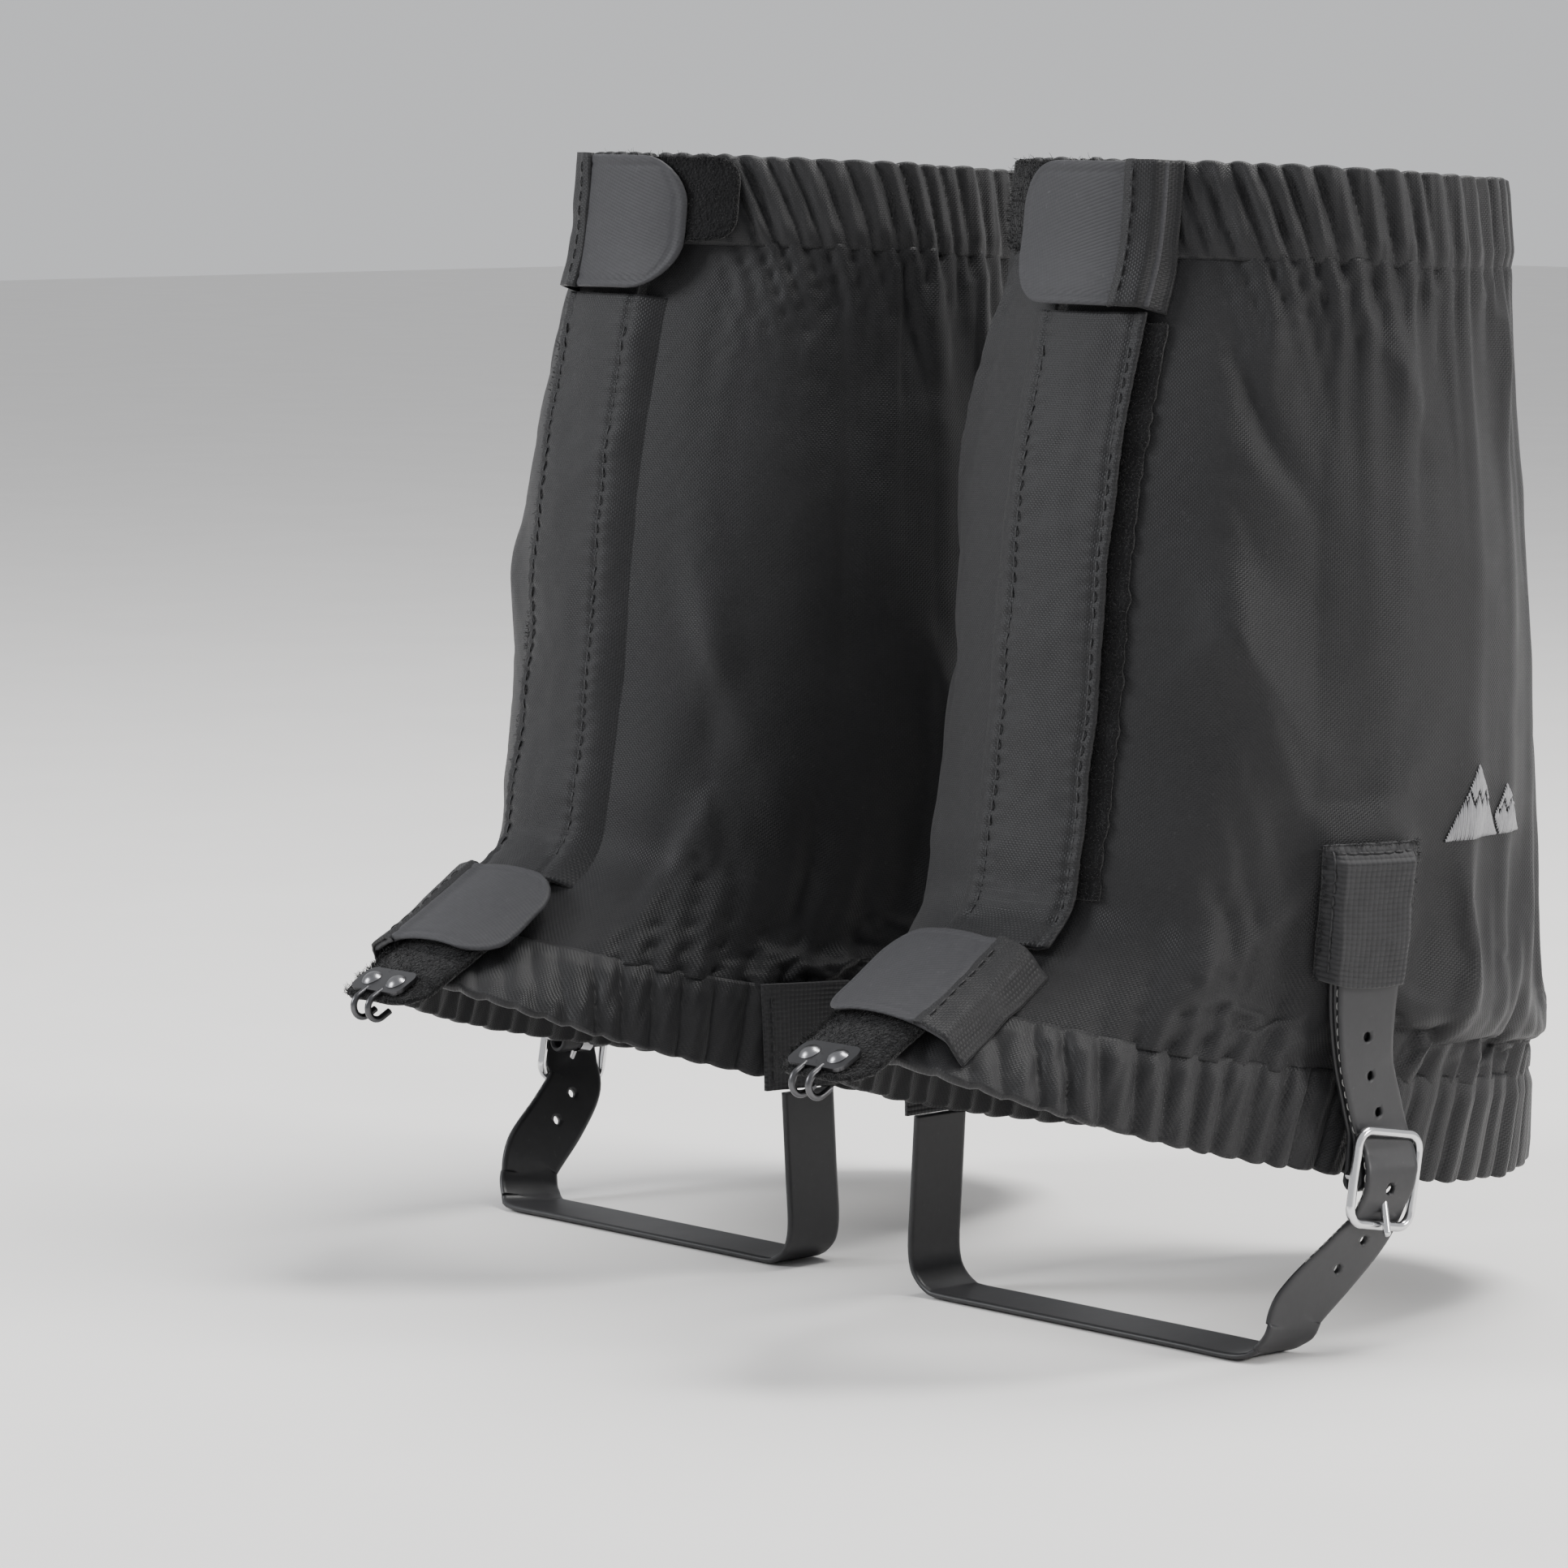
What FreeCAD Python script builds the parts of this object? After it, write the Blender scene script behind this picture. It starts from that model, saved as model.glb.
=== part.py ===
import os
from math import cos, sin, pi, radians, degrees, hypot

import FreeCAD
import Part

# A pair of low hiking gaiters, worn on boots.  +Z is up, the toes point to -Y and the
# wearer's left gaiter stands at +X.  The origin lies between the two gaiters, level with
# the underside of the instep straps.  Each left piece is drawn about its own gaiter's
# centre plane and moved out by half the spacing; each right piece is its mirror image.

V = FreeCAD.Vector
doc = FreeCAD.newDocument("Gaiters")
sheet = doc.addObject("Spreadsheet::Sheet", "Sizes")

sizes = {
    # the pair
    "spacing": 144.0,              # centre to centre
    # rim and hem of the tube
    "rim_height": 247.0,           # front of the rim above the strap's underside
    "rim_drop": 6.0,               # the rim is lower at the back
    "rim_front": 6.0,
    "rim_back": 104.5,
    "rim_half_width": 50.0,
    "hem_front_height": 65.0,
    "hem_back_height": 29.0,
    "hem_front": -62.0,
    "hem_back": 121.0,
    "hem_half_width": 46.5,
    "vamp_angle": 28.0,            # slope of the front over the instep
    "cuff_height": 20.0,           # each elasticated hem
    # widest part of the shaft
    "belly_front": -12.0,
    "belly_back": 117.0,
    "belly_half_width": 61.5,
    "ankle_front": -22.0,
    "ankle_half_width": 54.5,
    # cloth, elastic and tape
    "cloth": 1.2,
    "cuff_wall": 0.9,
    "elastic_thickness": 1.2,
    "elastic_width": 18.0,
    "elastic_play": 0.3,
    "tape_thickness": 0.9,
    "tape_gap": 0.3,               # between closed hook and loop faces
    "sewn_gap": 0.15,              # between pieces sewn to each other
    "slit_width": 3.0,
    "slit_place": -4.5,
    # front flap
    "flap_width": 25.0,
    "flap_centre": 6.5,            # towards the outside of the foot
    "flap_top": 213.0,
    "flap_bottom": 95.0,
    "hook_strip_width": 19.0,
    "loop_strip_width": 25.0,
    "loop_strip_shift": 3.5,       # the loop strip shows past the flap's free edge
    # closing tabs
    "tab_thickness": 1.2,
    "top_tab_length": 40.0,
    "top_tab_height": 31.0,
    "bottom_tab_length": 40.0,
    "bottom_tab_height": 29.0,
    "bottom_tab_setback": 7.0,     # from the front hem
    "tab_hook_inset": 3.0,
    "loop_patch_length": 32.0,
    # lace hook
    "hook_plate_width": 17.0,
    "hook_plate_depth": 8.0,
    "hook_plate_thickness": 0.9,
    "rivet_spacing": 8.5,
    "rivet_head_radius": 2.4,
    "rivet_head_height": 1.1,
    "rivet_shank_radius": 1.1,
    "washer_radius": 3.0,
    "washer_thickness": 0.6,
    "prong_wire_radius": 0.75,
    "prong_gap": 5.0,
    "prong_bend": 2.6,
    "backing_width": 24.0,
    "backing_reach": 13.0,         # how far the tongue stands out in front of the hem
    "backing_overlap": 17.0,
    # instep strap
    "strap_width": 15.0,
    "strap_thickness": 1.3,
    "strap_hole_radius": 1.1,
    "strap_hole_pitch": 8.4,
    "strap_place": 29.0,           # where the strap meets the keeper, front to back
    "arch_place": 9.0,             # where it passes under the foot
    "arch_half_width": 44.0,
    "arch_bend": 9.0,
    # buckle
    "buckle_width": 20.6,
    "buckle_height": 21.5,
    "buckle_wire": 1.0,            # radius
    "buckle_corner": 3.5,
    "buckle_place": 33.0,
    "buckle_level": 36.0,
    "buckle_stand": 56.5,          # centre bar from the centre plane
    "buckle_bow": 2.4,             # the end bars stand out past the centre bar
    "buckle_tilt": 10.0,
    "buckle_play": 0.25,
    "prong_radius": 0.85,
    "prong_slot": 5.0,
    # keeper and anchors
    "keeper_width": 21.0,
    "keeper_height": 28.0,
    "keeper_level": 79.0,
    "anchor_width": 22.0,
    "anchor_height": 24.0,
    # embroidery
    "peaks_width": 28.0,
    "peaks_height": 16.0,
    "peaks_place": 66.0,
    "peaks_level": 105.0,
}
for row, (name, value) in enumerate(sizes.items(), start=1):
    sheet.set("A%d" % row, name)
    sheet.set("B%d" % row, str(value))
    sheet.setAlias("B%d" % row, name)
doc.recompute()


def size(name):
    return float(sheet.get(name))


half_spacing = size("spacing") / 2
leftPieces = []


def place(obj, label):
    """Name a left piece and stand it on its own gaiter's centre plane."""
    obj.Label = "left_" + label
    base = obj.Placement.Base
    obj.Placement = FreeCAD.Placement(V(base.x + half_spacing, base.y, base.z),
                                      obj.Placement.Rotation)
    leftPieces.append(obj)
    return obj


def feature(shape, label):
    obj = doc.addObject("Part::Feature", label)
    obj.Shape = shape
    return place(obj, label)


# ---- the tube's outline -------------------------------------------------------------

vamp = radians(size("vamp_angle"))
cuff = size("cuff_height")
hemFront = (size("hem_front"), size("hem_front_height"))
hemBack = (size("hem_back"), size("hem_back_height"))
stitchFront = (hemFront[0] + cuff * cos(vamp), hemFront[1] + cuff * sin(vamp))
stitchBack = (hemBack[0] - 0.5, hemBack[1] + cuff)
rimFront = (size("rim_front"), size("rim_height"))
rimBack = (size("rim_back"), size("rim_height") - size("rim_drop"))
neckFront = (rimFront[0] - 2.0, rimFront[1] - cuff)
neckBack = (rimBack[0] + 1.5, rimBack[1] - cuff)


def between(low, high, share):
    return low + (high - low) * share


def level(share):
    """Front and back heights of a cross-section between the two gather stitches."""
    return between(stitchFront[1], neckFront[1], share), between(stitchBack[1], neckBack[1], share)


def shaftSection(share, front, back, half, blunt):
    zFront, zBack = level(share)
    return (front, zFront), (back, zBack), half, blunt


hemHalf = size("hem_half_width")
bellyHalf = size("belly_half_width")
rimHalf = size("rim_half_width")
ankleHalf = size("ankle_half_width")
bellyFront = size("belly_front")
bellyBack = size("belly_back")
tongueFront = (hemFront[0] - 18.0 * cos(vamp), hemFront[1] - 18.0 * sin(vamp))
tongueBack = (hemBack[0] + 0.5, hemBack[1] - 18.0)
aboveFront = (rimFront[0] + 0.8, rimFront[1] + 8.0)
aboveBack = (rimBack[0] - 0.6, rimBack[1] + 8.0)

# (front point, back point, half width, bluntness), from below the hem to above the rim
sections = [
    (tongueFront, tongueBack, hemHalf - 1.0, 2.4),
    (hemFront, hemBack, hemHalf, 2.4),
    (stitchFront, stitchBack, hemHalf + 2.0, 2.35),
    shaftSection(0.10, size("ankle_front"), between(stitchBack[0], bellyBack, 0.3), ankleHalf, 2.3),
    shaftSection(0.21, between(size("ankle_front"), bellyFront, 0.5),
                 between(stitchBack[0], bellyBack, 0.6), between(ankleHalf, bellyHalf, 0.6), 2.2),
    shaftSection(0.37, bellyFront - 1.0, bellyBack, bellyHalf, 2.1),
    shaftSection(0.63, between(bellyFront, neckFront[0], 0.2), between(bellyBack, neckBack[0], 0.35),
                 bellyHalf, 2.05),
    shaftSection(0.86, between(bellyFront, neckFront[0], 0.62), between(bellyBack, neckBack[0], 0.75),
                 between(bellyHalf, rimHalf, 0.4), 2.0),
    (neckFront, neckBack, rimHalf + 2.0, 2.0),
    (rimFront, rimBack, rimHalf, 2.0),
    (aboveFront, aboveBack, rimHalf, 2.0),
]


def pushed(points, index, distance, side):
    """A profile point moved square to the profile; side -1 is the front, +1 the back."""
    low = points[max(index - 1, 0)]
    high = points[min(index + 1, len(points) - 1)]
    run, rise = high[0] - low[0], high[1] - low[1]
    length = hypot(run, rise)
    y, z = points[index]
    return y + side * distance * rise / length, z - side * distance * run / length


def sectionAt(index, distance):
    fronts = [section[0] for section in sections]
    backs = [section[1] for section in sections]
    front = pushed(fronts, index, distance, -1)
    back = pushed(backs, index, distance, 1)
    return front, back, sections[index][2] + distance, sections[index][3]


def outline(front, back, half, blunt, count=28):
    """A closed superelliptic curve through the front and back points."""
    points = []
    for step in range(count):
        angle = 2 * pi * step / count
        across = abs(cos(angle)) ** (2 / blunt)
        along = abs(sin(angle)) ** (2 / blunt)
        x = half * (across if cos(angle) >= 0 else -across)
        share = 0.5 + 0.5 * (along if sin(angle) >= 0 else -along)
        points.append(V(x, between(front[0], back[0], share), between(front[1], back[1], share)))
    curve = Part.BSplineCurve()
    curve.interpolate(Points=points, PeriodicFlag=True)
    return Part.Wire(curve.toShape())


def cone(distance):
    """The whole tube as a solid, grown by a distance."""
    wires = [outline(*sectionAt(index, distance)) for index in range(len(sections))]
    return Part.makeLoft(wires, True, False)


cones = {}


def layer(inner, outer, region):
    """The part of a region between two distances from the tube's inner face."""
    for distance in (inner, outer):
        if distance not in cones:
            cones[distance] = cone(distance)
    return cones[outer].common(region).cut(cones[inner])


def slab(low, high, lowTrim=0.0, highTrim=0.0):
    """The space between two cross-section planes, given as (front, back) points."""
    corners = []
    reach = 4.0
    for (front, back), trim in ((low, lowTrim), (high, highTrim)):
        length = hypot(back[0] - front[0], back[1] - front[1])
        alongY, alongZ = (back[0] - front[0]) / length, (back[1] - front[1]) / length
        y0, z0 = front[0] - reach * 10 * alongY, front[1] - reach * 10 * alongZ
        y1, z1 = back[0] + reach * 10 * alongY, back[1] + reach * 10 * alongZ
        corners.append([(y0 - trim * alongZ, z0 + trim * alongY), (y1 - trim * alongZ, z1 + trim * alongY)])
    loop = [corners[0][0], corners[0][1], corners[1][1], corners[1][0]]
    reachX = bellyHalf + 30.0
    points = [V(-reachX, y, z) for y, z in loop]
    face = Part.Face(Part.makePolygon(points + points[:1]))
    return face.extrude(V(2 * reachX, 0, 0))


hemPlane = (hemFront, hemBack)
stitchPlane = (stitchFront, stitchBack)
neckPlane = (neckFront, neckBack)
rimPlane = (rimFront, rimBack)

slitLeft = size("slit_place") - size("slit_width") / 2
slit = Part.makeBox(size("slit_width"), 140, 400, V(slitLeft, -100, -20))

# ---- shell and cuffs ------------------------------------------------------------------

cloth = size("cloth")
shellRoom = slab(stitchPlane, neckPlane, 0.1, -0.1).cut(slit)
feature(layer(0.0, cloth, shellRoom), "shell_panel")

wall = size("cuff_wall")
play = size("elastic_play")
elasticIn = wall + play
elasticOut = elasticIn + size("elastic_thickness")
cuffDepth = elasticOut + play + wall
elasticTrim = (cuff - size("elastic_width")) / 2
for name, low, high in (("top", neckPlane, rimPlane), ("bottom", hemPlane, stitchPlane)):
    channelRoom = slab(low, high, elasticTrim - play, play - elasticTrim)
    elasticRoom = slab(low, high, elasticTrim, -elasticTrim).cut(slit)
    channel = layer(wall, cuffDepth - wall, channelRoom)
    casing = layer(0.0, cuffDepth, slab(low, high).cut(slit)).cut(channel)
    feature(casing, name + "_hem_casing")
    feature(layer(elasticIn, elasticOut, elasticRoom), name + "_elastic")

# ---- front flap and its tape ------------------------------------------------------------

tape = size("tape_thickness")
sewn = size("sewn_gap")
loopIn = cloth + sewn
loopOut = loopIn + tape
hookIn = loopOut + size("tape_gap")
hookOut = hookIn + tape
flapIn = hookOut + sewn
flapOut = flapIn + cloth
flapTop = size("flap_top")
flapBottom = size("flap_bottom")
flapCentre = size("flap_centre")
flapWidth = size("flap_width")


def frontBlock(centre, width, low, high):
    """The space in front of the shin between two heights."""
    return Part.makeBox(width, 70, high - low, V(centre - width / 2, -50, low))


loopBlock = frontBlock(flapCentre + size("loop_strip_shift"), size("loop_strip_width"), flapBottom, flapTop)
hookBlock = frontBlock(flapCentre + 1.5, size("hook_strip_width"), flapBottom + 2, flapTop - 2)
flapBlock = frontBlock(flapCentre, flapWidth, flapBottom, flapTop)
feature(layer(loopIn, loopOut, loopBlock), "front_loop_strip")
feature(layer(hookIn, hookOut, hookBlock), "flap_hook_strip")
feature(layer(flapIn, flapOut, flapBlock), "front_flap")

# ---- closing tabs -------------------------------------------------------------------------

patchIn = cuffDepth + sewn
patchOut = patchIn + tape
tabHookIn = patchOut + size("tape_gap")
tabHookOut = tabHookIn + tape
tabIn = tabHookOut + sewn
tabOut = tabIn + size("tab_thickness")


def roundEnded(length, height, reach, depth):
    """A plate's outline in its own plane with two round corners at -X, made a prism."""
    left, right = -length / 2, length / 2
    low, high = -height / 2, height / 2
    bend = reach * (1 - cos(pi / 4))
    edges = [
        Part.LineSegment(V(left + reach, low, 0), V(right, low, 0)),
        Part.LineSegment(V(right, low, 0), V(right, high, 0)),
        Part.LineSegment(V(right, high, 0), V(left + reach, high, 0)),
        Part.Arc(V(left + reach, high, 0), V(left + bend, high - bend, 0), V(left, high - reach, 0)),
        Part.LineSegment(V(left, high - reach, 0), V(left, low + reach, 0)),
        Part.Arc(V(left, low + reach, 0), V(left + bend, low + bend, 0), V(left + reach, low, 0)),
    ]
    face = Part.Face(Part.Wire([edge.toShape() for edge in edges]))
    return face.extrude(V(0, 0, depth))


def facing(prism, x, y, z, slope):
    """Set a prism at a point, its plane turned about X by a slope."""
    stand = FreeCAD.Placement(V(x, y, z), FreeCAD.Rotation(V(1, 0, 0), slope))
    prism.Placement = stand.multiply(prism.Placement)
    return prism


def vampPoint(setback, stand):
    """A point above the vamp, a distance back from the front hem."""
    y = hemFront[0] + setback * cos(vamp) - stand * sin(vamp)
    return y, hemFront[1] + setback * sin(vamp) + stand * cos(vamp)


inset = size("tab_hook_inset")
vampSlope = degrees(vamp) - 180.0
topHeight = size("top_tab_height")
topPlace = (rimFront[0] - 20.0, rimFront[1] - topHeight / 2 - 0.6)
bottomHeight = size("bottom_tab_height")
bottomPlace = vampPoint(size("bottom_tab_setback") + bottomHeight / 2, 14.0)
patchLength = size("loop_patch_length")
tabs = (
    ("top", size("top_tab_length"), topHeight, 11.0, topPlace, -90.0, 46.0),
    ("bottom", size("bottom_tab_length"), bottomHeight, 9.0, bottomPlace, vampSlope, 32.0),
)
for name, length, height, end, (y, z), slope, depth in tabs:
    outer = facing(roundEnded(length, height, end, depth), 0, y, z, slope)
    inner = facing(roundEnded(length - 2 * inset, height - 2 * inset, end - inset / 2, depth),
                   0, y, z, slope)
    feature(layer(tabIn, tabOut, outer), name + "_tab")
    feature(layer(tabHookIn, tabHookOut, inner), name + "_tab_hook")

patch = facing(roundEnded(patchLength, cuff - 1.0, 5.0, 46.0), -10.0, topPlace[0],
               rimFront[1] - cuff / 2 - 0.3, -90.0)
feature(layer(patchIn, patchOut, patch), "top_tab_loop_patch")

# ---- lace hook and its tongue ----------------------------------------------------------------

reach = size("backing_reach")
backingLength = reach + size("backing_overlap")
plateStand = patchOut + sewn
plateThickness = size("hook_plate_thickness")
plateDepth = size("hook_plate_depth")
plateWidth = size("hook_plate_width")
plateSetback = 1.5 - reach + plateDepth / 2
riseTurn = FreeCAD.Rotation(V(1, 0, 0), degrees(vamp))


def onVamp(obj, x, setback, stand):
    """Stand an object square to the vamp; its own Z points out of the cloth."""
    y, z = vampPoint(setback, stand)
    obj.Placement = FreeCAD.Placement(V(x, y, z), riseTurn)


plate = doc.addObject("Part::Box", "PlateBlank")
plate.setExpression("Length", "Sizes.hook_plate_width")
plate.setExpression("Width", "Sizes.hook_plate_depth")
plate.setExpression("Height", "Sizes.hook_plate_thickness")
plate.Placement.Base = V(-plateWidth / 2, -plateDepth / 2, 0)
doc.recompute()
uprights = [index + 1 for index, edge in enumerate(plate.Shape.Edges)
            if abs(edge.tangentAt(edge.FirstParameter).z) > 0.9]
rounded = doc.addObject("Part::Fillet", "PlateRound")
rounded.Base = plate
rounded.Edges = [(edge, 2.5, 2.5) for edge in uprights]


def shankHoles(radius, name):
    holes = []
    for side in (-1, 1):
        hole = doc.addObject("Part::Cylinder", name)
        hole.Radius = radius
        hole.Height = 12
        hole.Placement.Base = V(side * size("rivet_spacing") / 2, 0, -6)
        holes.append(hole)
    return holes


shankRadius = size("rivet_shank_radius")
drilled = doc.addObject("Part::Cut", "PlateDrilled")
drilled.Base = rounded
drilled.Tool = doc.addObject("Part::Compound", "PlateHoles")
drilled.Tool.Links = shankHoles(shankRadius + 0.1, "PlateHole")


def prongShape(side):
    """One wire prong: forward off the plate, then curled down and back under."""
    wire = size("prong_wire_radius")
    bend = size("prong_bend")
    x = side * size("prong_gap") / 2
    start, front = -plateDepth / 2 + 1.0, -plateDepth / 2 - 2.0
    middle = plateThickness / 2
    path = Part.Wire([
        Part.LineSegment(V(x, start, middle), V(x, front, middle)).toShape(),
        Part.Arc(V(x, front, middle), V(x, front - bend, middle - bend),
                 V(x, front, middle - 2 * bend)).toShape(),
        Part.LineSegment(V(x, front, middle - 2 * bend), V(x, front + 2.5, middle - 2 * bend)).toShape(),
    ])
    ring = Part.Wire(Part.makeCircle(wire, V(x, start, middle), V(0, 1, 0)))
    return path.makePipeShell([ring], True, False)


prongs = doc.addObject("Part::Feature", "Prongs")
prongs.Shape = prongShape(-1).fuse(prongShape(1))
hookPlate = doc.addObject("Part::Fuse", "HookPlate")
hookPlate.Base = drilled
hookPlate.Tool = prongs
onVamp(hookPlate, 0, plateSetback, plateStand)
place(hookPlate, "lace_hook_plate")


def rivetShape(x):
    """A domed head on a shank that ends in the washer behind the tongue."""
    head = size("rivet_head_radius")
    rise = size("rivet_head_height")
    top = plateThickness + sewn / 2
    drop = -(plateStand - patchIn) - size("washer_thickness") - 0.3
    ball = (head ** 2 + rise ** 2) / (2 * rise)
    dome = Part.makeSphere(ball, V(0, 0, top + rise - ball)).common(Part.makeCylinder(head, ball, V(0, 0, top)))
    solid = dome.fuse(Part.makeCylinder(shankRadius, top + rise / 3 - drop, V(0, 0, drop))).removeSplitter()
    solid.translate(V(x, 0, 0))
    return solid


rivetX = size("rivet_spacing") / 2
rivets = doc.addObject("Part::Feature", "Rivets")
rivets.Shape = Part.makeCompound([rivetShape(-rivetX), rivetShape(rivetX)])
onVamp(rivets, 0, plateSetback, plateStand)
place(rivets, "lace_hook_rivets")

washers = []
for side in (-1, 1):
    disc = doc.addObject("Part::Cylinder", "WasherDisc")
    disc.setExpression("Radius", "Sizes.washer_radius")
    disc.setExpression("Height", "Sizes.washer_thickness")
    disc.Placement.Base = V(side * rivetX, 0, 0)
    washers.append(disc)
discs = doc.addObject("Part::Compound", "WasherDiscs")
discs.Links = washers
washerHoles = doc.addObject("Part::Compound", "WasherHoles")
washerHoles.Links = shankHoles(shankRadius + 0.1, "WasherHole")
washerPair = doc.addObject("Part::Cut", "WasherPair")
washerPair.Base = discs
washerPair.Tool = washerHoles
onVamp(washerPair, 0, plateSetback, patchIn - sewn - size("washer_thickness"))
place(washerPair, "lace_hook_washers")
doc.recompute()

# the loop-faced tongue behind the hook, pierced by the shanks
tongue = roundEnded(backingLength, size("backing_width"), 8.0, 32.0)
tongue.rotate(V(0, 0, 0), V(0, 0, 1), 90)
tonguePlace = vampPoint(backingLength / 2 - reach, 14.0)
punch = Part.makeCompound([Part.makeCylinder(shankRadius + 0.1, 12, V(side * rivetX, 0, -8))
                           for side in (-1, 1)])
punch.Placement = FreeCAD.Placement(V(0, *vampPoint(plateSetback, plateStand)), riseTurn)
tongueLayer = layer(patchIn, patchOut, facing(tongue, 0, *tonguePlace, vampSlope))
feature(tongueLayer.cut(punch), "lace_hook_tongue")

# ---- ribbons: straps drawn by their centre line ------------------------------------------------


def ribbon(stations, thickness):
    """A flat strap through (x, y, z, width, lean) stations; its width lies along Y, leant about X."""
    corners = []
    last = len(stations) - 1
    for index, (x, y, z, width, lean) in enumerate(stations):
        before = stations[max(index - 1, 0)]
        after = stations[min(index + 1, last)]
        arrive = V(x - before[0], 0, z - before[2])
        leave = V(after[0] - x, 0, after[2] - z)
        if index == 0:
            arrive = leave
        if index == last:
            leave = arrive
        along = (arrive.normalize() + leave.normalize()).normalize()
        mitre = 1 / max(along.dot(leave), 0.5)
        normal = V(along.z, 0, -along.x) * (thickness / 2 * mitre)
        centre = V(x, y, z)
        side = V(0, cos(lean), -sin(lean)) * (width / 2)
        ring = [centre - normal - side, centre + normal - side,
                centre + normal + side, centre - normal + side]
        corners.append(Part.makePolygon(ring + ring[:1]))
    return Part.makeLoft(corners, True, True)


thick = size("strap_thickness")
strapWidth = size("strap_width")
buckleX = size("buckle_stand")
buckleY = size("buckle_place")
buckleZ = size("buckle_level")
wire = size("buckle_wire")
bow = size("buckle_bow")
buckleHeight = size("buckle_height")
buckleWidth = size("buckle_width")
buckleGap = size("buckle_play")
chapeThick = thick * 0.85
chapeIn = wire + buckleGap
chapeMid = chapeIn + chapeThick / 2
prongRadius = size("prong_radius")
strapOver = chapeIn + 2 * prongRadius + buckleGap + thick / 2
strapBehind = bow - wire - 2 * buckleGap - thick / 2
keeperLevel = size("keeper_level")
keeperHeight = size("keeper_height")
keeperTop = keeperLevel + keeperHeight
strapY = size("strap_place")


def sideReach(y, z, distance):
    """How far out a layer of the tube's side stands from the centre plane."""
    if distance not in cones:
        cones[distance] = cone(distance)
    probe = Part.makeBox(200, 0.5, 0.5, V(0, y, z)).common(cones[distance])
    return probe.optimalBoundingBox(False, False).XMax


lean = radians(size("buckle_tilt"))
tilt = FreeCAD.Rotation(V(1, 0, 0), -size("buckle_tilt"))
buckleCentre = V(buckleX, buckleY, buckleZ)


def atBuckle(out, up):
    """A strap station in the buckle's tilted plane."""
    spot = buckleCentre + tilt.multVec(V(out, 0, up))
    return spot.x, spot.y, spot.z, strapWidth, lean


# the chape: one strip folded round the centre bar, both ends under the keeper
cuffTopZ = 62.0
chapeTop = keeperTop - 3.0
legGap = chapeThick + 0.3
legOut = strapBehind - thick / 2 - 0.3 - chapeThick / 2
legIn = legOut - legGap
halfHeight = buckleHeight / 2 - wire
wideY = strapY + strapWidth / 2
clearOf = 0.3 + chapeThick / 2
chapeTopX = sideReach(wideY, chapeTop, cloth) + clearOf
chapeMidX = sideReach(wideY, keeperLevel + 3, cloth) + clearOf
chapeCuffX = max(sideReach(wideY, cuffTopZ, cuffDepth) + clearOf, buckleX + legIn)
sideStations = [(chapeTopX, chapeTop), (chapeMidX, keeperLevel + 3), (chapeCuffX, cuffTopZ)]
chapeLine = [(x, strapY, z, strapWidth, 0) for x, z in sideStations]
chapeLine += [atBuckle(legIn, halfHeight), atBuckle(-chapeMid, 0)]
for step in range(1, 6):
    turn = pi + pi * step / 6
    chapeLine.append(atBuckle(chapeMid * cos(turn), chapeMid * sin(turn)))
chapeLine += [atBuckle(chapeMid, 0), atBuckle(legOut, halfHeight)]
chapeLine += [(x + legGap, strapY, z, strapWidth, 0) for x, z in reversed(sideStations)]
slotWidth = size("prong_slot")
chapeSlot = Part.makeBox(14, slotWidth, 12, V(buckleX - 7, buckleY - slotWidth / 2, buckleZ - 7))
feature(ribbon(chapeLine, chapeThick).cut(chapeSlot), "buckle_chape")

# ---- buckle ---------------------------------------------------------------------------------------

halfWidth = buckleWidth / 2 - wire
corner = size("buckle_corner")
flatY, flatZ = halfWidth - corner, halfHeight - corner
turned = corner * cos(pi / 4)


def railLine(y0, z0, y1, z1):
    return Part.LineSegment(V(bow, y0, z0), V(bow, y1, z1)).toShape()


def railCorner(sideY, sideZ, clockwise):
    """A quarter turn of the frame about one corner's centre."""
    y, z = sideY * flatY, sideZ * flatZ
    onSide, onEnd = V(bow, y + sideY * corner, z), V(bow, y, z + sideZ * corner)
    middle = V(bow, y + sideY * turned, z + sideZ * turned)
    ends = (onEnd, onSide) if clockwise else (onSide, onEnd)
    return Part.Arc(ends[0], middle, ends[1]).toShape()


railPath = Part.Wire([
    railLine(halfWidth, 0, halfWidth, flatZ), railCorner(1, 1, False),
    railLine(flatY, halfHeight, -flatY, halfHeight), railCorner(-1, 1, True),
    railLine(-halfWidth, flatZ, -halfWidth, -flatZ), railCorner(-1, -1, False),
    railLine(-flatY, -halfHeight, flatY, -halfHeight), railCorner(1, -1, True),
    railLine(halfWidth, -flatZ, halfWidth, 0),
])
railRing = Part.Wire(Part.makeCircle(wire, V(bow, halfWidth, 0), V(0, 0, 1)))
sunkHalf = strapWidth / 2 + 0.55
sunkEnds = []
for side in (-1, 1):
    low, high = V(0, side * sunkHalf, 0), V(bow, side * halfWidth, 0)
    sunkEnds.append(Part.makeCylinder(wire, (high - low).Length, low, high - low))
    sunkEnds.append(Part.makeSphere(wire, low))
rails = doc.addObject("Part::Feature", "Rails")
rails.Shape = railPath.makePipeShell([railRing], True, True).fuse(sunkEnds)
bar = doc.addObject("Part::Cylinder", "CentreBar")
bar.setExpression("Radius", "Sizes.buckle_wire")
bar.Height = 2 * sunkHalf
bar.Placement = FreeCAD.Placement(V(0, sunkHalf, 0), FreeCAD.Rotation(V(1, 0, 0), 90))
frame = doc.addObject("Part::Fuse", "BuckleFrame")
frame.Base = rails
frame.Tool = bar
frame.Placement = FreeCAD.Placement(buckleCentre, tilt)
place(frame, "buckle_frame")

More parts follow.
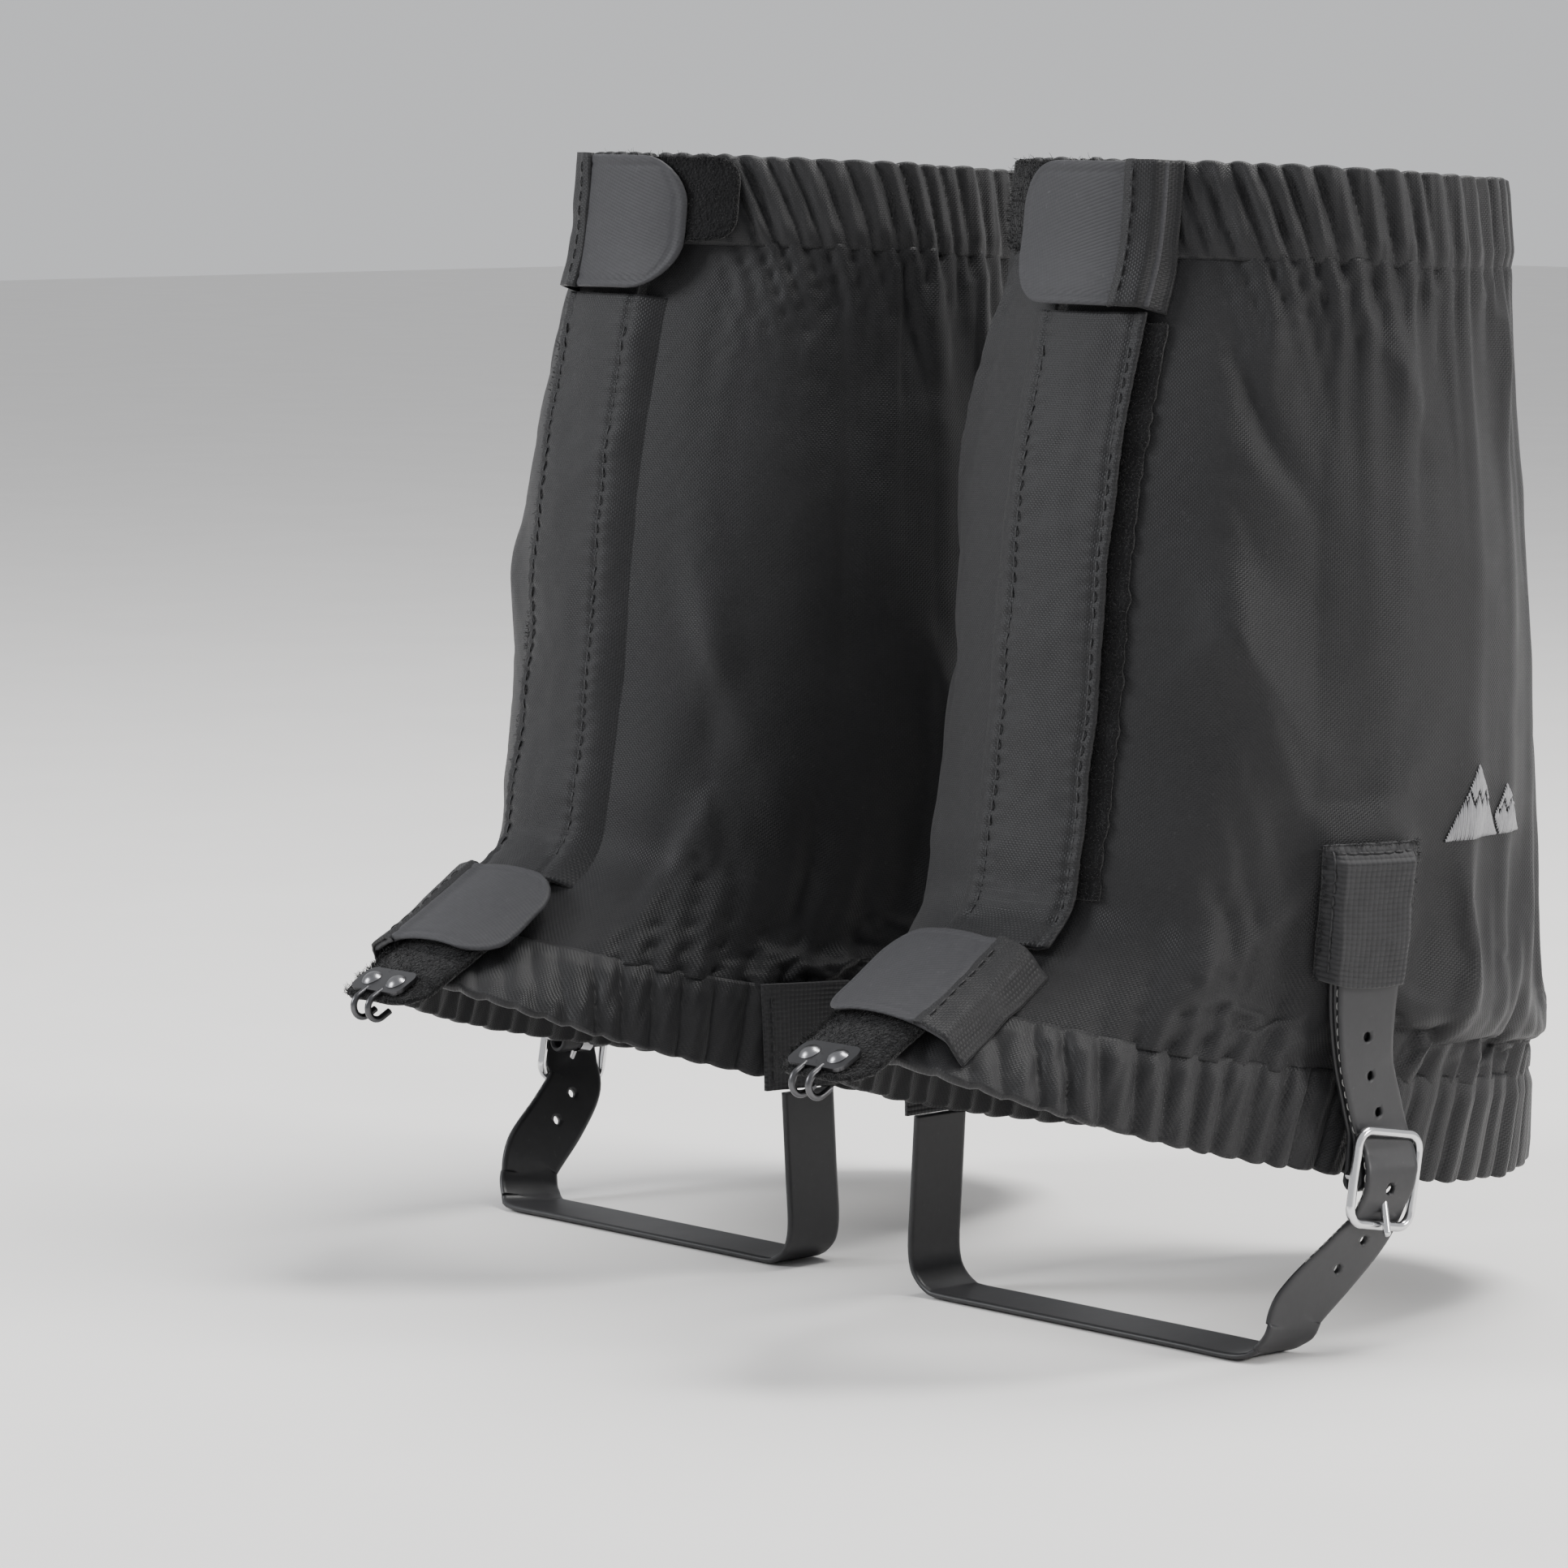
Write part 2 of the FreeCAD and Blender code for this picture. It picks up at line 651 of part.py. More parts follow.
eyeMiddle = chapeIn + prongRadius
tip = V(bow + wire + buckleGap + prongRadius + 0.5, 0, -halfHeight - 1.2)
root = V(eyeMiddle * cos(radians(-35)), 0, eyeMiddle * sin(radians(-35)))


def prongRod(radius):
    reachOut = tip - root
    rod = Part.makeCylinder(radius, reachOut.Length, root, reachOut)
    return rod.fuse(Part.makeSphere(radius, tip))


eye = Part.makeCylinder(eyeMiddle + prongRadius, 3.2, V(0, -1.6, 0), V(0, 1, 0))
eyeBore = Part.makeCylinder(wire + 0.08, 4, V(0, -2, 0), V(0, 1, 0))
prongSolid = eye.fuse(prongRod(prongRadius)).cut(eyeBore)
prongSolid.Placement = FreeCAD.Placement(buckleCentre, tilt)
feature(prongSolid, "buckle_prong")

# ---- instep strap: tail under the keeper, through the buckle, under the arch, up the inside --------

tailGap = legGap + chapeThick / 2 + 0.3 + thick / 2
tailEnd = keeperLevel + 10
tailShare = (tailEnd - keeperLevel - 3) / (chapeTop - keeperLevel - 3)
tailX = between(chapeMidX, chapeTopX, tailShare) + tailGap
tailMidX = chapeMidX + tailGap
tailCuffX = chapeCuffX + tailGap
arch = size("arch_half_width")
archBend = size("arch_bend")
archY = size("arch_place")
floor = thick / 2
bend = archBend - floor

strapLine = [
    (tailX, strapY, tailEnd, strapWidth, 0),
    (tailMidX, strapY, keeperLevel + 3, strapWidth, 0),
    (tailCuffX, strapY, cuffTopZ, strapWidth, 0),
    atBuckle(strapBehind, halfHeight),
    atBuckle(strapOver, 2.2),
    atBuckle(strapOver, -2.2),
    atBuckle(strapBehind, -halfHeight),
    (arch + bend, archY + 5.0, archBend + 1.0, strapWidth + 1.5, lean),
]
for step in range(1, 5):
    turn = -pi / 2 * step / 4
    strapLine.append((arch + bend * cos(turn), archY + 5.0 - 1.25 * step, archBend + bend * sin(turn),
                      strapWidth + 1.5 - 0.3 * step, lean * (4 - step) / 4))
soleHalf = arch - 2.0
strapLine.append((soleHalf, archY, floor, strapWidth, 0))

# the flat run under the foot, then the rise to the anchor patch
sole = Part.makeBox(2 * soleHalf, strapWidth, thick, V(-soleHalf, archY - strapWidth / 2, 0))
anchorLow = buckleZ + 4.0
insideX = -(sideReach(archY, anchorLow, cuffDepth) + 0.3 + thick / 2)
riseLine = [(-soleHalf, archY, floor, strapWidth, 0)]
for step in range(0, 4):
    turn = -pi / 2 - pi / 2 * step / 4
    riseLine.append((-arch + bend * cos(turn), archY, archBend + bend * sin(turn), strapWidth, 0))
riseLine.append((-arch - bend, archY, archBend + 2, strapWidth, 0))
riseLine.append((insideX, archY, anchorLow - 0.6, strapWidth, 0))

holeTool = prongRod(prongRadius + 0.4)
holeTool.Placement = FreeCAD.Placement(buckleCentre, tilt)
holeTools = [holeTool]
holeRadius = size("strap_hole_radius")
pitch = size("strap_hole_pitch")
for count in (1, 2, 3, 4):
    z = buckleZ + halfHeight + pitch * (count - 0.45)
    y = between(buckleY, strapY, min(1, (z - buckleZ) / (cuffTopZ - buckleZ)))
    holeTools.append(Part.makeCylinder(holeRadius, 14, V(tailCuffX - 7, y, z), V(1, 0, 0)))
for count in (1, 2):
    z = buckleZ - halfHeight - pitch * (count - 0.3) * 0.8
    y = between(buckleY - 3, archY + 5, (buckleZ - halfHeight - z) / (buckleZ - halfHeight - archBend))
    holeTools.append(Part.makeCylinder(holeRadius, 14, V(arch + bend - 7, y, z), V(1, 0, 0)))
strap = ribbon(strapLine, thick).fuse([sole, ribbon(riseLine, thick)])
for tool in holeTools:
    strap = strap.cut(tool)
feature(strap, "instep_strap")

# ---- keeper, strap anchor and embroidery ------------------------------------------------------------

keeperWall = size("tape_thickness") + 0.2
keeperWidth = size("keeper_width")
tailOut = thick / 2 + 0.3


def leaning(grow, width, low, high):
    """A block from inside the tube out to a face that follows the strap's tail."""
    lowX, highX = tailMidX + grow, tailMidX + grow + (chapeTopX - chapeMidX)
    bendZ = keeperLevel + 3
    lowX -= (bendZ - low) * (tailMidX - tailCuffX) / (bendZ - cuffTopZ)
    points = [V(30, 0, low), V(lowX, 0, low), V(tailMidX + grow, 0, bendZ), V(highX, 0, high), V(30, 0, high)]
    face = Part.Face(Part.makePolygon(points + points[:1]))
    block = face.extrude(V(0, width, 0))
    block.translate(V(0, strapY - width / 2, 0))
    return block


if cloth + sewn not in cones:
    cones[cloth + sewn] = cone(cloth + sewn)
keeperOut = leaning(tailOut + keeperWall, keeperWidth, keeperLevel, keeperTop)
pocket = leaning(tailOut, strapWidth + 1.5, keeperLevel - 1, keeperTop - 2)
feature(keeperOut.cut(cones[cloth + sewn]).cut(pocket), "keeper_patch")

anchorWidth = size("anchor_width")
anchorBlock = Part.makeBox(60, anchorWidth, size("anchor_height"), V(-80, archY - anchorWidth / 2, anchorLow))
feature(layer(patchIn, patchOut, anchorBlock), "strap_anchor_patch")

peaksY = size("peaks_place")
peaksZ = size("peaks_level")
peaksWidth = size("peaks_width")
peaksHeight = size("peaks_height")


def peak(left, right, top):
    """One mountain outline pressed through the side of the tube."""
    middle = between(left, right, 0.5)
    points = [V(20, peaksY + left, peaksZ), V(20, peaksY + right, peaksZ), V(20, peaksY + middle, peaksZ + top)]
    return Part.Face(Part.makePolygon(points + points[:1])).extrude(V(70, 0, 0))


bigPeak = peak(-peaksWidth / 2, peaksWidth * 0.16, peaksHeight)
smallPeak = peak(-peaksWidth * 0.02, peaksWidth / 2, peaksHeight * 0.68)
shadow = peak(-peaksWidth / 2, peaksWidth * 0.16 + 2.4, peaksHeight + 2.0)
threads = [layer(cloth + sewn, cloth + sewn + 0.5, bigPeak),
           layer(cloth + sewn, cloth + sewn + 0.5, smallPeak.cut(shadow))]
feature(Part.makeCompound(threads), "embroidered_peaks")

# ---- the right gaiter is the left one's mirror image ----------------------------------------------

pieces = list(leftPieces)
for left in leftPieces:
    right = doc.addObject("Part::Mirroring", "Right")
    right.Source = left
    right.Normal = V(1, 0, 0)
    right.Label = left.Label.replace("left_", "right_")
    pieces.append(right)
doc.recompute()

for obj in doc.Objects:
    if "Invalid" in obj.State or "Error" in obj.State:
        raise RuntimeError("failed: " + obj.Label)
for obj in pieces:
    if obj.Shape.isNull() or not obj.Shape.isValid():
        raise RuntimeError("bad shape: " + obj.Label)
os.makedirs("parts", exist_ok=True)
for obj in pieces:
    obj.Shape.exportStep("parts/" + obj.Label + ".step")
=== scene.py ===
import math

import bmesh
import bpy
import numpy as np
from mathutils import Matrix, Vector, noise
from mathutils.bvhtree import BVHTree


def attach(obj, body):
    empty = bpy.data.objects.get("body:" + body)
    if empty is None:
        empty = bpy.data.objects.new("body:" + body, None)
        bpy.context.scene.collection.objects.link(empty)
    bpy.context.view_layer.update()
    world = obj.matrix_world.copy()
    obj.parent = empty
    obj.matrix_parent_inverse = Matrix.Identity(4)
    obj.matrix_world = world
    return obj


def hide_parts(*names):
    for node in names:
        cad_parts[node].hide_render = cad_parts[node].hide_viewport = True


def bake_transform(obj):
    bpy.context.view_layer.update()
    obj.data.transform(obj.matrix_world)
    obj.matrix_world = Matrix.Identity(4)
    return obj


# A pair of low hiking gaiters: cloth tubes with gathered hems, closing tabs, lace hooks and buckled straps.

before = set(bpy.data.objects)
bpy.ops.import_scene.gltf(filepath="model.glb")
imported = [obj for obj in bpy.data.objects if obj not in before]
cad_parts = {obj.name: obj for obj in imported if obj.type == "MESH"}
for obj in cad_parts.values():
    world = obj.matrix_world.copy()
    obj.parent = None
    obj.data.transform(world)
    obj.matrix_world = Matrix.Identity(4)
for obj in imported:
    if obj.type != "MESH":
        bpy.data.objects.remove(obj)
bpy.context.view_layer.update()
mm = 0.001
sides = {"left": 1, "right": -1}
print("frame loaded")

# the tube's form, the same as the model's

tube = {
    "spacing": 0.144,
    "cuff": 0.020,                      # height of each elastic hem
    "slit": -0.0045,                    # place of the front opening, towards the other leg
    "slitWidth": 0.003,
    "vampAngle": math.radians(28),
    "sag": 0.0105,                      # the hem hangs lower at both sides
}


def buildSections():
    # (front y, z), (back y, z), half width, bluntness from the hem up to the rim
    cuff, vamp = tube["cuff"], tube["vampAngle"]
    hemFront, hemBack = (-0.062, 0.065), (0.121, 0.029)
    rimFront, rimBack = (0.006, 0.247), (0.1045, 0.241)
    lowFront = (hemFront[0] + cuff * math.cos(vamp), hemFront[1] + cuff * math.sin(vamp))
    lowBack = (hemBack[0] - 0.0005, hemBack[1] + cuff)
    highFront = (rimFront[0] - 0.002, rimFront[1] - cuff)
    highBack = (rimBack[0] + 0.0015, rimBack[1] - cuff)

    def shaft(share, front, back, half, blunt):
        zFront = lowFront[1] + (highFront[1] - lowFront[1]) * share
        zBack = lowBack[1] + (highBack[1] - lowBack[1]) * share
        return (front, zFront), (back, zBack), half, blunt

    below = ((hemFront[0] - 0.018 * math.cos(vamp), hemFront[1] - 0.018 * math.sin(vamp)),
             (hemBack[0] + 0.0005, hemBack[1] - 0.018), 0.0455, 2.4)
    above = ((rimFront[0] + 0.0008, rimFront[1] + 0.008),
             (rimBack[0] - 0.0006, rimBack[1] + 0.008), 0.050, 2.0)
    return [
        below,
        (hemFront, hemBack, 0.0465, 2.4),
        (lowFront, lowBack, 0.0485, 2.35),
        shaft(0.10, -0.0220, 0.1195, 0.0545, 2.3),
        shaft(0.21, -0.0170, 0.1183, 0.0587, 2.2),
        shaft(0.37, -0.0130, 0.1170, 0.0615, 2.1),
        shaft(0.63, -0.0088, 0.1131, 0.0615, 2.05),
        shaft(0.86, -0.0021, 0.1088, 0.0569, 2.0),
        (highFront, highBack, 0.0520, 2.0),
        (rimFront, rimBack, 0.0500, 2.0),
        above,
    ]


sections = buildSections()
lowStitch, highStitch = 2.0, 8.0    # section numbers; the hem is 1 and the rim 9


def through(values, where):
    # a smooth curve through evenly numbered values
    values = np.asarray(values, float)
    last = len(values) - 1
    step = np.clip(np.floor(where).astype(int), 0, last - 1)
    t = np.clip(where, 0, last) - step
    t = t.reshape(t.shape + (1,) * (values.ndim - 1))
    p0, p1 = values[np.maximum(step - 1, 0)], values[step]
    p2, p3 = values[step + 1], values[np.minimum(step + 2, last)]
    return 0.5 * (2 * p1 + (p2 - p0) * t + (2 * p0 - 5 * p1 + 4 * p2 - p3) * t ** 2
                  + (3 * p1 - p0 - 3 * p2 + p3) * t ** 3)


def ring(level, count, gap=tube["slitWidth"] / 2):
    # points of one cross-section, evenly spaced from the slit round by the outer side
    front = np.array([through([s[0][i] for s in sections], np.array(level)) for i in (0, 1)])
    back = np.array([through([s[1][i] for s in sections], np.array(level)) for i in (0, 1)])
    half = float(through([s[2] for s in sections], np.array(level)))
    blunt = float(through([s[3] for s in sections], np.array(level)))
    start = -math.asin(min(abs(tube["slit"]) / half, 1) ** (blunt / 2))
    turn = start + np.linspace(0, 2 * np.pi, 1441)
    across = np.sign(np.sin(turn)) * np.abs(np.sin(turn)) ** (2 / blunt)
    along = 0.5 - 0.5 * np.sign(np.cos(turn)) * np.abs(np.cos(turn)) ** (2 / blunt)
    fine = np.stack([half * across, front[0] + (back[0] - front[0]) * along,
                     front[1] + (back[1] - front[1]) * along], 1)
    fine[:, 2] -= tube["sag"] * np.interp(level, [1, 2, 3, 4], [1, 0.45, 0.18, 0]) * across ** 2
    run = np.concatenate([[0], np.cumsum(np.linalg.norm(np.diff(fine, axis=0), axis=1))])
    wanted = np.linspace(gap, run[-1] - gap, count)
    return np.stack([np.interp(wanted, run, fine[:, i]) for i in range(3)], 1), run[-1]


def gridNormals(points):
    alongU = np.gradient(points, axis=1)
    alongV = np.gradient(points, axis=0)
    normal = np.cross(alongU, alongV)
    return normal / np.maximum(np.linalg.norm(normal, axis=2, keepdims=True), 1e-12)


def formGrid(levels, count, gap=tube["slitWidth"] / 2):
    # the tube's inner face as a grid of points, its outward normals, and its flat coordinates
    rows = [ring(level, count, gap) for level in levels]
    points = np.array([row[0] for row in rows])
    normals = gridNormals(points)
    rise = np.concatenate([[0], np.cumsum(np.linalg.norm(np.diff(points, axis=0), axis=2).mean(1))])
    return points, normals, rise


def toWorld(points, side):
    moved = np.array(points, float)
    moved[..., 0] = sides[side] * (moved[..., 0] + tube["spacing"] / 2)
    return moved


def ease(share):
    # a soft start and end for a share from 0 to 1
    return share * share * (3 - 2 * share)


def fieldNoise(points, scale, seed):
    flat = points.reshape(-1, 3)
    shift = Vector((seed * 7.3, seed * 3.1, seed * 5.7))
    return np.array([noise.noise(Vector(p) * scale + shift) for p in flat]).reshape(points.shape[:-1])


# meshes


def gridFaces(rows, cols, wrap=False):
    faces = []
    reach = cols if wrap else cols - 1
    for r in range(rows - 1):
        for c in range(reach):
            n = (c + 1) % cols
            faces.append((r * cols + c, r * cols + n, (r + 1) * cols + n, (r + 1) * cols + c))
    return faces


def addObject(name, data):
    obj = bpy.data.objects.new(name, data)
    bpy.context.scene.collection.objects.link(obj)
    return obj


def makeObject(name, points, faces, side):
    # points are for the left gaiter; the right one gets mirrored faces
    if sides[side] < 0:
        faces = [tuple(reversed(face)) for face in faces]
    mesh = bpy.data.meshes.new(name)
    mesh.from_pydata([tuple(p) for p in toWorld(points, side).reshape(-1, 3)], [], faces)
    mesh.update()
    mesh.polygons.foreach_set("use_smooth", [True] * len(mesh.polygons))
    return addObject(name, mesh)


def addWeaveMap(obj, flat):
    # flat holds each point's place on the uncut cloth, in metres
    flat = np.asarray(flat, np.float32).reshape(-1, 2)
    layer = obj.data.uv_layers.new(name="weave")
    loops = np.empty(len(obj.data.loops), np.int32)
    obj.data.loops.foreach_get("vertex_index", loops)
    layer.uv.foreach_set("vector", flat[loops].ravel())


def capsule(start, end, normal, radius, flatness=0.6):
    # one stitch: a short flattened rod with round ends, arched out of the cloth
    start, end, normal = np.array(start), np.array(end), np.array(normal)
    along = end - start
    across = np.cross(along, normal)
    across = across / max(np.linalg.norm(across), 1e-9)
    points = []
    for share, size, lift in ((0.0, 0.35, -0.5), (0.12, 0.85, 0.3), (0.5, 1.0, 0.7), (0.88, 0.85, 0.3),
                              (1.0, 0.35, -0.5)):
        centre = start + along * share + normal * radius * lift
        for corner in range(6):
            turn = 2 * math.pi * corner / 6
            points.append(centre + across * radius * size * math.cos(turn)
                          + normal * radius * size * flatness * math.sin(turn))
    faces = gridFaces(5, 6, True) + [tuple(range(5, -1, -1)), tuple(range(24, 30))]
    return points, faces


def stitchRow(name, line, normals, side, length=0.0024, gap=0.0009, radius=0.00028):
    # stitches along a line of surface points
    line, normals = np.array(line), np.array(normals)
    run = np.concatenate([[0], np.cumsum(np.linalg.norm(np.diff(line, axis=0), axis=1))])
    points, faces = [], []
    at = gap
    while at + length < run[-1]:
        ends = [np.array([np.interp(a, run, line[:, i]) for i in range(3)]) for a in (at, at + length)]
        normal = np.array([np.interp(at + length / 2, run, normals[:, i]) for i in range(3)])
        more, moreFaces = capsule(ends[0], ends[1], normal / np.linalg.norm(normal), radius)
        faces += [tuple(i + len(points) for i in face) for face in moreFaces]
        points += more
        at += length + gap
    return makeObject(name, np.array(points), faces, side)


formLevels = np.linspace(0.0, 10.0, 161)
formPoints = formGrid(formLevels, 361, 0.0)[0]      # closed at the slit, for casting rays
formTree = BVHTree.FromPolygons([tuple(p) for p in formPoints.reshape(-1, 3)],
                                gridFaces(*formPoints.shape[:2]))


def onForm(x, z):
    # the place on the front of the form at a width and a height, and its outward normal
    hit, normal, _, _ = formTree.ray_cast(Vector((x, -0.20, z)), Vector((0, 1, 0)))
    if hit is None:
        hit, normal, _, _ = formTree.find_nearest(Vector((x, -0.02, z)))
    if normal.dot(hit - Vector((0, 0.05, hit.z))) < 0:
        normal = -normal
    return np.array(hit), np.array(normal)


def castForm(origin, direction):
    hit, normal, _, _ = formTree.ray_cast(Vector(origin), Vector(direction).normalized())
    if hit is None:
        hit, normal, _, _ = formTree.find_nearest(Vector(origin))
    if normal.dot(Vector(direction)) > 0:
        normal = -normal
    return np.array(hit), np.array(normal)


def castGrid(rows, cols, cast):
    # points and normals of a whole grid, where cast finds one of each
    points = np.empty((rows, cols, 3))
    normals = np.empty_like(points)
    for r in range(rows):
        for c in range(cols):
            points[r, c], normals[r, c] = cast(r, c)
    return points, normals


def closeNormals(obj):
    # every face of a closed piece looks outwards
    mesh = bmesh.new()
    mesh.from_mesh(obj.data)
    bmesh.ops.recalc_face_normals(mesh, faces=mesh.faces)
    mesh.to_mesh(obj.data)
    mesh.free()


def slab(name, outer, inner, side, flat):
    # a closed slab between an outer and an inner grid of points
    rows, cols = outer.shape[:2]
    count = rows * cols
    points = np.concatenate([outer.reshape(-1, 3), inner.reshape(-1, 3)])
    faces = gridFaces(rows, cols)
    faces += [tuple(count + i for i in reversed(face)) for face in gridFaces(rows, cols)]
    rim = list(range(cols)) + [r * cols + cols - 1 for r in range(1, rows)]
    rim += [(rows - 1) * cols + c for c in range(cols - 2, -1, -1)]
    rim += [r * cols for r in range(rows - 2, 0, -1)]
    faces += [(b, a, count + a, count + b) for a, b in zip(rim, rim[1:] + rim[:1])]
    obj = makeObject(name, points, faces, side)
    addWeaveMap(obj, np.concatenate([flat.reshape(-1, 2)] * 2))
    closeNormals(obj)
    return obj


def dressed(obj, material, body=None, replaced=()):
    obj.data.materials.clear()
    obj.data.materials.append(material)
    if body:
        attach(obj, body)
    if replaced:
        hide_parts(*replaced)
    return obj


print("form ready")

# materials


def newGroup(name, inputs, outputs):
    group = bpy.data.node_groups.new(name, "ShaderNodeTree")
    for socketName, kind, value in inputs:
        socket = group.interface.new_socket(socketName, in_out="INPUT", socket_type=kind)
        if value is not None:
            socket.default_value = value
    for socketName, kind in outputs:
        group.interface.new_socket(socketName, in_out="OUTPUT", socket_type=kind)
    return group, group.nodes.new("NodeGroupInput"), group.nodes.new("NodeGroupOutput")


def mathNode(tree, operation, first, second=None, third=None):
    node = tree.nodes.new("ShaderNodeMath")
    node.operation = operation
    for socket, value in zip(node.inputs, (first, second, third)):
        if value is None:
            continue
        if isinstance(value, (int, float)):
            socket.default_value = value
        else:
            tree.links.new(value, socket)
    return node.outputs[0]


def noiseNode(tree, vector, scale, detail=3.0, rough=0.5):
    node = tree.nodes.new("ShaderNodeTexNoise")
    node.inputs["Scale"].default_value = scale
    node.inputs["Detail"].default_value = detail
    node.inputs["Roughness"].default_value = rough
    tree.links.new(vector, node.inputs["Vector"])
    return node.outputs["Fac"]


def ripples(tree, value):
    # 0 at whole numbers and 1 half way between them
    return mathNode(tree, "ABSOLUTE", mathNode(tree, "SINE", mathNode(tree, "MULTIPLY", value, math.pi)))


def mixColours(tree, factor, first, second):
    node = tree.nodes.new("ShaderNodeMix")
    node.data_type = "RGBA"
    node.inputs["A"].default_value = (*first, 1)
    node.inputs["B"].default_value = (*second, 1)
    tree.links.new(factor, node.inputs["Factor"])
    return node


def buildWeave():
    # a plain weave: threads go over and under each other like a chequerboard
    group, given, result = newGroup(
        "plainWeave",
        [("Place", "NodeSocketVector", None), ("Threads", "NodeSocketFloat", 2000.0)],
        [("Height", "NodeSocketFloat"), ("Tone", "NodeSocketFloat")])
    split = group.nodes.new("ShaderNodeSeparateXYZ")
    group.links.new(given.outputs["Place"], split.inputs[0])
    u = mathNode(group, "MULTIPLY", split.outputs[0], given.outputs["Threads"])
    v = mathNode(group, "MULTIPLY", split.outputs[1], given.outputs["Threads"])
    wave = noiseNode(group, given.outputs["Place"], 90.0, 2.0)
    u = mathNode(group, "ADD", u, mathNode(group, "MULTIPLY", wave, 1.6))
    warp, weft = ripples(group, u), ripples(group, v)
    cells = mathNode(group, "ADD", mathNode(group, "FLOOR", u), mathNode(group, "FLOOR", v))
    over = mathNode(group, "MODULO", mathNode(group, "ABSOLUTE", cells), 2.0)
    under = mathNode(group, "SUBTRACT", 1.0, over)
    height = mathNode(group, "ADD", mathNode(group, "MULTIPLY", warp, over),
                      mathNode(group, "MULTIPLY", weft, under))
    group.links.new(height, result.inputs["Height"])
    slub = noiseNode(group, given.outputs["Place"], 420.0, 2.0)
    tone = mathNode(group, "MULTIPLY_ADD", over, 0.22, mathNode(group, "MULTIPLY", slub, 0.8))
    group.links.new(tone, result.inputs["Tone"])
    return group


def buildWear():
    # soft patches of dust and rubbing, and fine lint
    group, given, result = newGroup(
        "wear", [("Place", "NodeSocketVector", None)],
        [("Patches", "NodeSocketFloat"), ("Lint", "NodeSocketFloat")])
    broad = noiseNode(group, given.outputs["Place"], 26.0, 5.0, 0.62)
    fine = noiseNode(group, given.outputs["Place"], 900.0, 2.0, 0.7)
    specks = mathNode(group, "MULTIPLY", mathNode(group, "SUBTRACT", fine, 0.66), 5.0)
    specks = mathNode(group, "MAXIMUM", mathNode(group, "MINIMUM", specks, 1.0), 0.0)
    group.links.new(broad, result.inputs["Patches"])
    group.links.new(specks, result.inputs["Lint"])
    return group


def buildPile():
    # tangled loops or stiff hooks seen as a fine rough field
    group, given, result = newGroup(
        "pile", [("Place", "NodeSocketVector", None), ("Fineness", "NodeSocketFloat", 1600.0)],
        [("Height", "NodeSocketFloat"), ("Tone", "NodeSocketFloat")])
    cells = group.nodes.new("ShaderNodeTexVoronoi")
    group.links.new(given.outputs["Place"], cells.inputs["Vector"])
    group.links.new(given.outputs["Fineness"], cells.inputs["Scale"])
    tangle = noiseNode(group, given.outputs["Place"], 1300.0, 4.0, 0.7)
    height = mathNode(group, "ADD", mathNode(group, "SUBTRACT", 1.0, cells.outputs["Distance"]), tangle)
    group.links.new(height, result.inputs["Height"])
    group.links.new(tangle, result.inputs["Tone"])
    return group


def buildRibs():
    # parallel cords across a tape, with a fine thread between them
    group, given, result = newGroup(
        "ribs", [("Place", "NodeSocketVector", None), ("Ribs", "NodeSocketFloat", 900.0)],
        [("Height", "NodeSocketFloat"), ("Tone", "NodeSocketFloat")])
    split = group.nodes.new("ShaderNodeSeparateXYZ")
    group.links.new(given.outputs["Place"], split.inputs[0])
    along = mathNode(group, "MULTIPLY", split.outputs[1], given.outputs["Ribs"])
    across = mathNode(group, "MULTIPLY", split.outputs[0], given.outputs["Ribs"])
    rib, ticks = ripples(group, along), ripples(group, across)
    height = mathNode(group, "MULTIPLY_ADD", ticks, 0.35, rib)
    grain = noiseNode(group, given.outputs["Place"], 500.0, 3.0)
    group.links.new(height, result.inputs["Height"])
    group.links.new(mathNode(group, "MULTIPLY_ADD", rib, 0.3, grain), result.inputs["Tone"])
    return group


groups = {"weave": buildWeave(), "wear": buildWear(), "pile": buildPile(), "ribs": buildRibs()}


